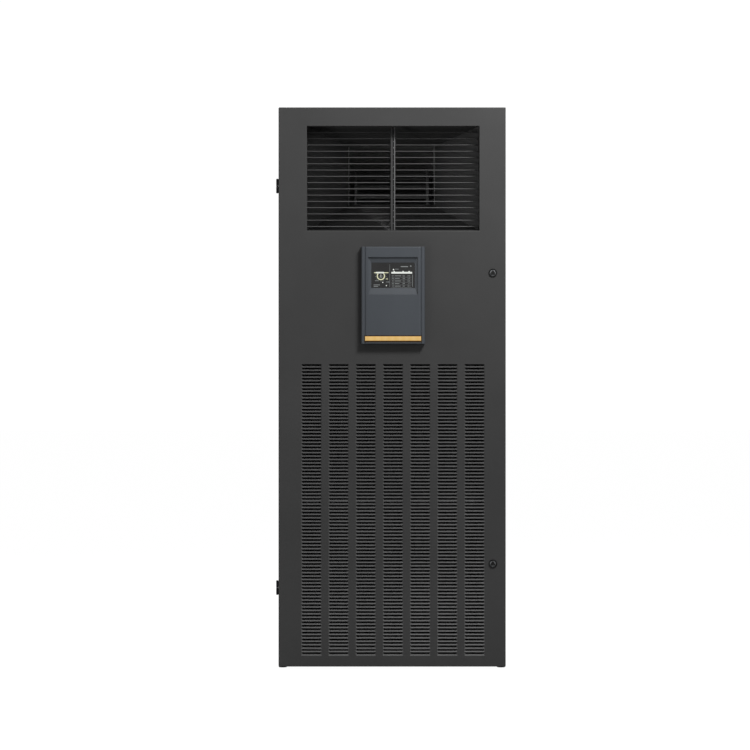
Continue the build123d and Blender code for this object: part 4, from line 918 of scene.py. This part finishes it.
class Display:
    """Lit marks on the screen, with one form for each finish."""

    def __init__(self):
        self.forms = {MARK_WHITE: Form(), MARK_CREAM: Form(), MARK_DIM: Form()}

    def mark(self, finish, outline, closed=True):
        """Raise an outline of X and Z from the screen; returns its form and the outline's first point."""
        form = self.forms[finish]
        first = len(form.points)
        form.sweep(outline, "Y", SCREEN_FACE - MARK_PROUD, SCREEN_FACE + MARK_SUNK, closed)
        return form, first

    def bar(self, finish, x0, x1, z0, z1, radius=0.4):
        self.mark(finish, rounded(x0, x1, z0, z1, min(radius, (x1 - x0) / 2.1, (z1 - z0) / 2.1), 2))

    def bars(self, finish, *areas):
        """Bars from their edges, each with a radius of its corners where it has its own."""
        for area in areas:
            self.bar(finish, *area)

    def arc(self, finish, centre, inner, outer, start, end, steps=28):
        """A band between two radii; its flat sides are made of strips, because it isn't convex."""
        shares = [step / steps for step in range(steps + 1)]
        outline = around(centre, outer, [start + (end - start) * share for share in shares])
        outline += around(centre, inner, [end + (start - end) * share for share in shares])
        form, first = self.mark(finish, outline, closed=False)
        count = len(outline)
        for step in range(steps):
            far = count - 1 - step
            strip = (step, step + 1, far - 1, far)
            form.faces.append(tuple(first + index for index in strip))
            form.faces.append(tuple(first + count + index for index in (strip[0], *strip[:0:-1])))

    def number(self, finish, text, x, z, height=4.2, weight=0.8):
        """A plain number of bars, from a place on its lower left."""
        width = height * 0.55
        half, slim = height / 2, weight / 2
        bars = {"a": (0, width, height - weight, height), "g": (0, width, half - slim, half + slim),
                "d": (0, width, 0, weight), "f": (0, weight, half, height), "e": (0, weight, 0, half),
                "b": (width - weight, width, half, height), "c": (width - weight, width, 0, half)}
        for figure in text:
            if figure == ".":
                self.bar(finish, x, x + weight, z, z + weight, 0.1)
                x += weight * 2.2
                continue
            for name in SEGMENTS[figure]:
                x0, x1, z0, z1 = bars[name]
                self.bar(finish, x + x0, x + x1, z + z0, z + z1, 0.1)
            x += width + weight * 1.6


def draw_dial(display):
    """The left half: a ring with its needle and points under a header, two numbers and short bars."""
    dial = (-36.7, 1293.0)
    display.bar(MARK_CREAM, -59.0, -12.0, 1302.4, 1305.2)
    display.arc(MARK_CREAM, dial, 10.2, 13.6, -222, 42, 36)
    display.number(MARK_CREAM, "45", -20.0, 1281.0, 4.4)
    display.bars(MARK_WHITE, (-53.5, -26.0, 1301.6, 1306.4), (-37.4, -36.0, 1288.6, 1297.6),
                 (-32.6, -28.6, 1270.6, 1273.4, 0.6), (-20.0, -17.4, 1259.6, 1263.4, 0.5))
    display.arc(MARK_DIM, dial, 5.6, 6.6, -200, 20)
    for x, z in around(dial, 17.4, [-200 + step * 27.5 for step in range(9)]):
        display.bar(MARK_DIM, x - 0.8, x + 0.8, z - 0.8, z + 0.8, 0.2)
    display.number(MARK_DIM, "14.0", -21.0, 1271.0, 4.4)
    display.bars(MARK_DIM, (-60.5, -40.0, 1262.6, 1264.6), (-60.5, -46.0, 1257.6, 1259.4),
                 (-56.0, -44.0, 1276.6, 1278.2), (-7.9, -7.2, 1256.5, 1331.0, 0.1))


def draw_table(display):
    """The right half: a header with three bumps, small marks above it, and five rows of numbers."""
    display.bar(MARK_WHITE, -2.3, 66.0, 1300.8, 1306.6)
    for x in (5.0, 34.3, 54.0):
        display.bar(MARK_WHITE, x, x + 4.2, 1306.4, 1309.4)
    display.bar(MARK_WHITE, 2.6, 6.8, 1311.8, 1316.4, 1.6)
    display.bars(MARK_DIM, (28.7, 52.5, 1322.4, 1325.2), (10.0, 22.0, 1314.6, 1316.2),
                 (59.0, 64.0, 1324.0, 1327.4, 1.2), (66.6, 67.8, 1258.0, 1298.0, 0.3))
    for row in range(5):
        z = 1291.6 - row * 8.5
        display.number(MARK_DIM, f"{(row * 7 + 3) % 10}{(row * 5 + 1) % 10}", -0.6, z)
        display.bar(MARK_DIM, 9.0, 30.0 - (row * 5) % 9, z + 1.2, z + 2.9, 0.2)
        display.number(MARK_DIM, f"{(row * 4 + 6) % 10}{(row * 3 + 5) % 10}", 35.4, z)
        display.number(MARK_DIM, f"{(row * 3 + 2) % 10}.{(row * 4 + 5) % 10}", 51.6, z)
        display.bar(MARK_DIM, -2.0, 64.2, z - 2.7, z - 2.2, 0.05)


def make_screen():
    """Cover glass, and the lit marks on its face: a dial, bars and a table of plain numbers."""
    left, right, low, high = SCREEN
    outline = rounded(left + SCREEN_PLAY, right - SCREEN_PLAY, low + SCREEN_PLAY, high - SCREEN_PLAY, 1.2)
    pane = Form().sweep(outline, "Y", SCREEN_FACE, SCREEN_FACE + SCREEN_GLASS)
    glass = settle(bevel(pane.piece("controller_glass", GLASS), 0.25, 1))
    carry(glass, "front_door", "screen_glass", "controller_screen")
    display = Display()
    draw_dial(display)
    draw_table(display)
    pieces = [form.piece("display_marks", finish, smooth=False) for finish, form in display.forms.items()]
    carry(join("display_marks", *pieces), "front_door", "screen_glass")


def make_light_bar():
    """Amber lens with a crowned face, and the brown frame of its seat, painted as the shade round the lens
    and its shadow below.
    """
    x0, x1, z0, z1 = BAR
    steps = 8
    outline = [(BAR_FRONT - BAR_CROWN * (1 - (2 * step / steps - 1) ** 2), z0 + (z1 - z0) * step / steps)
               for step in range(steps + 1)]
    form = Form().sweep(outline + [(BAR_BACK, z1), (BAR_BACK, z0)], "X", x0, x1)
    lens = settle(bevel(form.piece("controller_glow_bar", LENS), 0.5, 2, 40.0))
    rim = Form()
    for left, right, low, high in ((SEAT[0], SEAT[1], SEAT[2], z0), (SEAT[0], SEAT[1], z1, SEAT[3]),
                                   (SEAT[0], x0, z0, z1), (x1, SEAT[1], z0, z1)):
        rim.box(left, right, SEAT_FRONT, SEAT_BACK, low, high)
    joined = join("controller_glow_bar", lens, rim.piece("glow_bar_seat", SEAT_PAINTED_SHADE, smooth=False))
    carry(joined, "front_door", "light_bar_lens", "controller_light_bar")


make_controller()
make_screen()
make_light_bar()


# Locks, with profiles of radius and Y

HEXAGON = range(0, 360, 60)
CASE_PROFILE = [(14.0, -280.0), (14.0, -282.0), (13.4, -282.8), (12.6, -283.0), (11.6, -283.0),
                (11.0, -282.4), (10.4, -280.6), (10.4, -280.0)]
DISH_PROFILE = [(10.4, -280.7), (9.4, -280.9), (9.0, -281.4), (6.2, -281.4), (5.9, -281.1), (5.9, -243.2),
                (8.8, -243.0), (8.8, -280.0), (10.4, -280.0)]
STEM_PROFILE = [(5.4, -246.0), (5.4, -281.0), (5.0, -281.6), (3.6, -281.6)]


def make_lock_fronts():
    """Lock cases: a rounded ring, a dished face with its barrel, and the nut behind the door."""
    pieces = []
    for z in LOCK_HEIGHTS.values():
        centre = (LOCK_X, 0, z)
        pieces.append(Form().turned(CASE_PROFILE, centre, steps=40).piece("lock_case", MATT_BLACK_AND_GROOVE_SHADE))
        pieces.append(Form().turned(DISH_PROFILE, centre, steps=40).piece("lock_dish", DISH))
        nut = Form().sweep(around((LOCK_X, z), NUT_RADIUS, HEXAGON), "Y", NUT_FRONT, NUT_BACK)
        pieces.append(bevel(nut.piece("lock_nut", ZINC, smooth=False), 0.8))
    pieces = [settle(piece) for piece in pieces]
    carry(join("lock_fronts", *pieces), "front_door", "dark_zinc", "lock_cases")


def make_rotor(name, z):
    """Three-cornered rotor on its stem, which turns with the cam."""
    form = Form().turned(STEM_PROFILE, (LOCK_X, 0, z))
    angles = [corner + side * ROTOR_CORNER for corner in (90, 210, 330) for side in (-1, 0, 1)]
    form.sweep(around((LOCK_X, z), ROTOR_RADIUS, angles), "Y", ROTOR_FRONT, ROTOR_BACK)
    rotor = settle(bevel(form.piece(f"{name}_lock_rotor", MATT_BLACK_AND_GROOVE_SHADE), 0.35, 2, 40.0))
    carry(rotor, f"{name}_lock_cam", "zinc_steel")


make_lock_fronts()
for lock, height in LOCK_HEIGHTS.items():
    make_rotor(lock, height)


# Hinges and feet, with profiles of radius and Z

LOWER_KNUCKLE = [(1.2, -24.0), (2.8, -24.0), (4.0, -22.4), (4.0, -1.1), (3.6, -0.6), (2.0, -0.6),
                 (2.0, 16.6), (1.2, 18.0)]
UPPER_KNUCKLE = [(2.35, 0.3), (3.7, 0.3), (4.0, 0.8), (4.0, 22.4), (2.8, 24.0), (1.0, 24.0),
                 (1.0, 19.0), (2.35, 19.0), (2.35, 0.3)]
LOWER_LEAF = (0.0, -246.0, -244.0, -20.0, -0.6)
UPPER_LEAF = (2.6, -250.0, -248.0, 0.3, 20.0)
PAD_PROFILE = [(10.0, 0.0), (12.6, 0.0), (13.4, 0.7), (13.4, 2.4), (12.4, 3.4), (9.4, 3.9), (9.0, 4.1)]


def make_hinge_halves(name, knuckle, leaf, body, node):
    """The lower or upper halves of both lift-off hinges: a turned knuckle and a flat leaf each."""
    start, y0, y1, low, high = leaf
    pieces = []
    for z in HINGE_HEIGHTS:
        form = Form().turned([(radius, z + up) for radius, up in knuckle], (HINGE_X, HINGE_Y, 0), "Z", 28)
        form.box(HINGE_X + start, HINGE_X + LEAF_REACH, y0, y1, z + low, z + high)
        piece = form.piece(name, DARK_ZINC)
        piece.data.set_sharp_from_angle(angle=math.radians(35))
        pieces.append(piece)
    carry(join(name, *pieces), body, "dark_zinc", node)


def make_feet():
    """Levelling feet: a turned pad and the lock nut on it."""
    pieces = []
    for x in (-FOOT_X, FOOT_X):
        for y in FOOT_PLACES_Y:
            pad = Form().turned(PAD_PROFILE, (x, y, 0), "Z", 36)
            pieces.append(settle(pad.piece("foot_pad", PAD)))
            nut = Form().sweep(around((x, y), FOOT_NUT_RADIUS, HEXAGON), "Z", FOOT_NUT_LOW, FOOT_NUT_HIGH)
            pieces.append(settle(bevel(nut.piece("foot_nut", ZINC, smooth=False), 0.7)))
    carry(join("levelling_feet", *pieces), "cabinet", "black_plastic", "floor_pads")


make_hinge_halves("hinge_lower_halves", LOWER_KNUCKLE, LOWER_LEAF, "cabinet", "hinge_frame_leaves")
make_hinge_halves("hinge_upper_halves", UPPER_KNUCKLE, UPPER_LEAF, "front_door", "hinge_door_leaves")
make_feet()


# Light, floor and camera

PURE_WHITE = (1.0, 1.0, 1.0)
SOFT_LIGHT = 0.24
BACKDROP_LIGHT = 1.02
FLOOR_GLOW, GLOW_SHARE = 1.22, 0.8
FLOOR_REACH = 40.0
# Each lamp is its place, what it aims at, its size and its power in watts.
LAMPS = {
    "key_lamp": ((1.15, -1.9, 3.3), (0.0, -0.25, 1.25), (0.9, 0.6), 110.0),
    "rear_lamp": ((-1.5, 2.7, 3.3), (0.0, 0.28, 1.0), (1.2, 1.2), 140.0),
    "fill_lamp": ((-2.6, -2.4, 1.3), (0.0, -0.25, 1.2), (1.0, 1.0), 12.0),
}
CAMERA_PLACE = (-0.0522, -9.53, 0.9675)
FOCAL_LENGTH = 135.0
SENSOR_WIDTH = 36.0


def make_floor():
    """A floor that is white to the camera and keeps the object's shadow."""
    mesh = bpy.data.meshes.new("studio_floor")
    corners = [(-FLOOR_REACH, -FLOOR_REACH, 0), (FLOOR_REACH, -FLOOR_REACH, 0), (FLOOR_REACH, FLOOR_REACH, 0),
               (-FLOOR_REACH, FLOOR_REACH, 0)]
    mesh.from_pydata(corners, [], [(0, 1, 2, 3)])
    ground = bpy.data.objects.new("studio_floor", mesh)
    scene.collection.objects.link(ground)
    pale = Finish("pale_floor", Base_Color=grey(176), Roughness=0.9, Specular_IOR_Level=0.0)
    glow = pale.node("ShaderNodeEmission", None, {"Color": PURE_WHITE, "Strength": FLOOR_GLOW})
    share = pale.node("ShaderNodeLightPath", out="Is Camera Ray") * GLOW_SHARE
    mixed = pale.node("ShaderNodeMixShader", None, {0: share, 1: Wire(pale, pale.shader.outputs[0]), 2: glow})
    pale.tree.links.new(mixed.socket, pale.output.inputs["Surface"])
    mesh.materials.append(pale.material)


def make_world():
    """White surroundings for the camera and through glass, and a soft light for all else."""
    world = bpy.data.worlds.new("studio")
    scene.world = world
    world.use_nodes = True
    tree = world.node_tree
    tree.nodes.clear()
    white = (*PURE_WHITE, 1.0)
    path = add_node(tree, "ShaderNodeLightPath")
    seen = add_node(tree, "ShaderNodeMath", {"operation": "MAXIMUM"}, {
        0: path.outputs["Is Camera Ray"], 1: path.outputs["Is Transmission Ray"]})
    soft = add_node(tree, "ShaderNodeBackground", None, {"Color": white, "Strength": SOFT_LIGHT})
    backdrop = add_node(tree, "ShaderNodeBackground", None, {"Color": white, "Strength": BACKDROP_LIGHT})
    chosen = add_node(tree, "ShaderNodeMixShader", None, {
        0: seen.outputs[0], 1: soft.outputs[0], 2: backdrop.outputs[0]})
    add_node(tree, "ShaderNodeOutputWorld", None, {"Surface": chosen.outputs[0]})


def add_lamp(name, place, aim, size, power):
    lamp = bpy.data.lights.new(name, "AREA")
    lamp.shape = "RECTANGLE"
    lamp.size, lamp.size_y = size
    lamp.energy = power
    held = bpy.data.objects.new(name, lamp)
    held.location = place
    held.rotation_euler = (Vector(aim) - Vector(place)).to_track_quat("-Z", "Y").to_euler()
    scene.collection.objects.link(held)


def make_camera():
    """A long lens straight in front of the door."""
    lens = bpy.data.cameras.new("camera")
    lens.lens = FOCAL_LENGTH
    lens.sensor_width = SENSOR_WIDTH
    lens.sensor_fit = "AUTO"
    camera = bpy.data.objects.new("camera", lens)
    camera.location = CAMERA_PLACE
    camera.rotation_euler = (math.radians(90), 0.0, 0.0)
    scene.collection.objects.link(camera)
    scene.camera = camera


make_floor()
make_world()
for lamp_name, settings in LAMPS.items():
    add_lamp(lamp_name, *settings)
make_camera()
scene.view_settings.view_transform = "Standard"
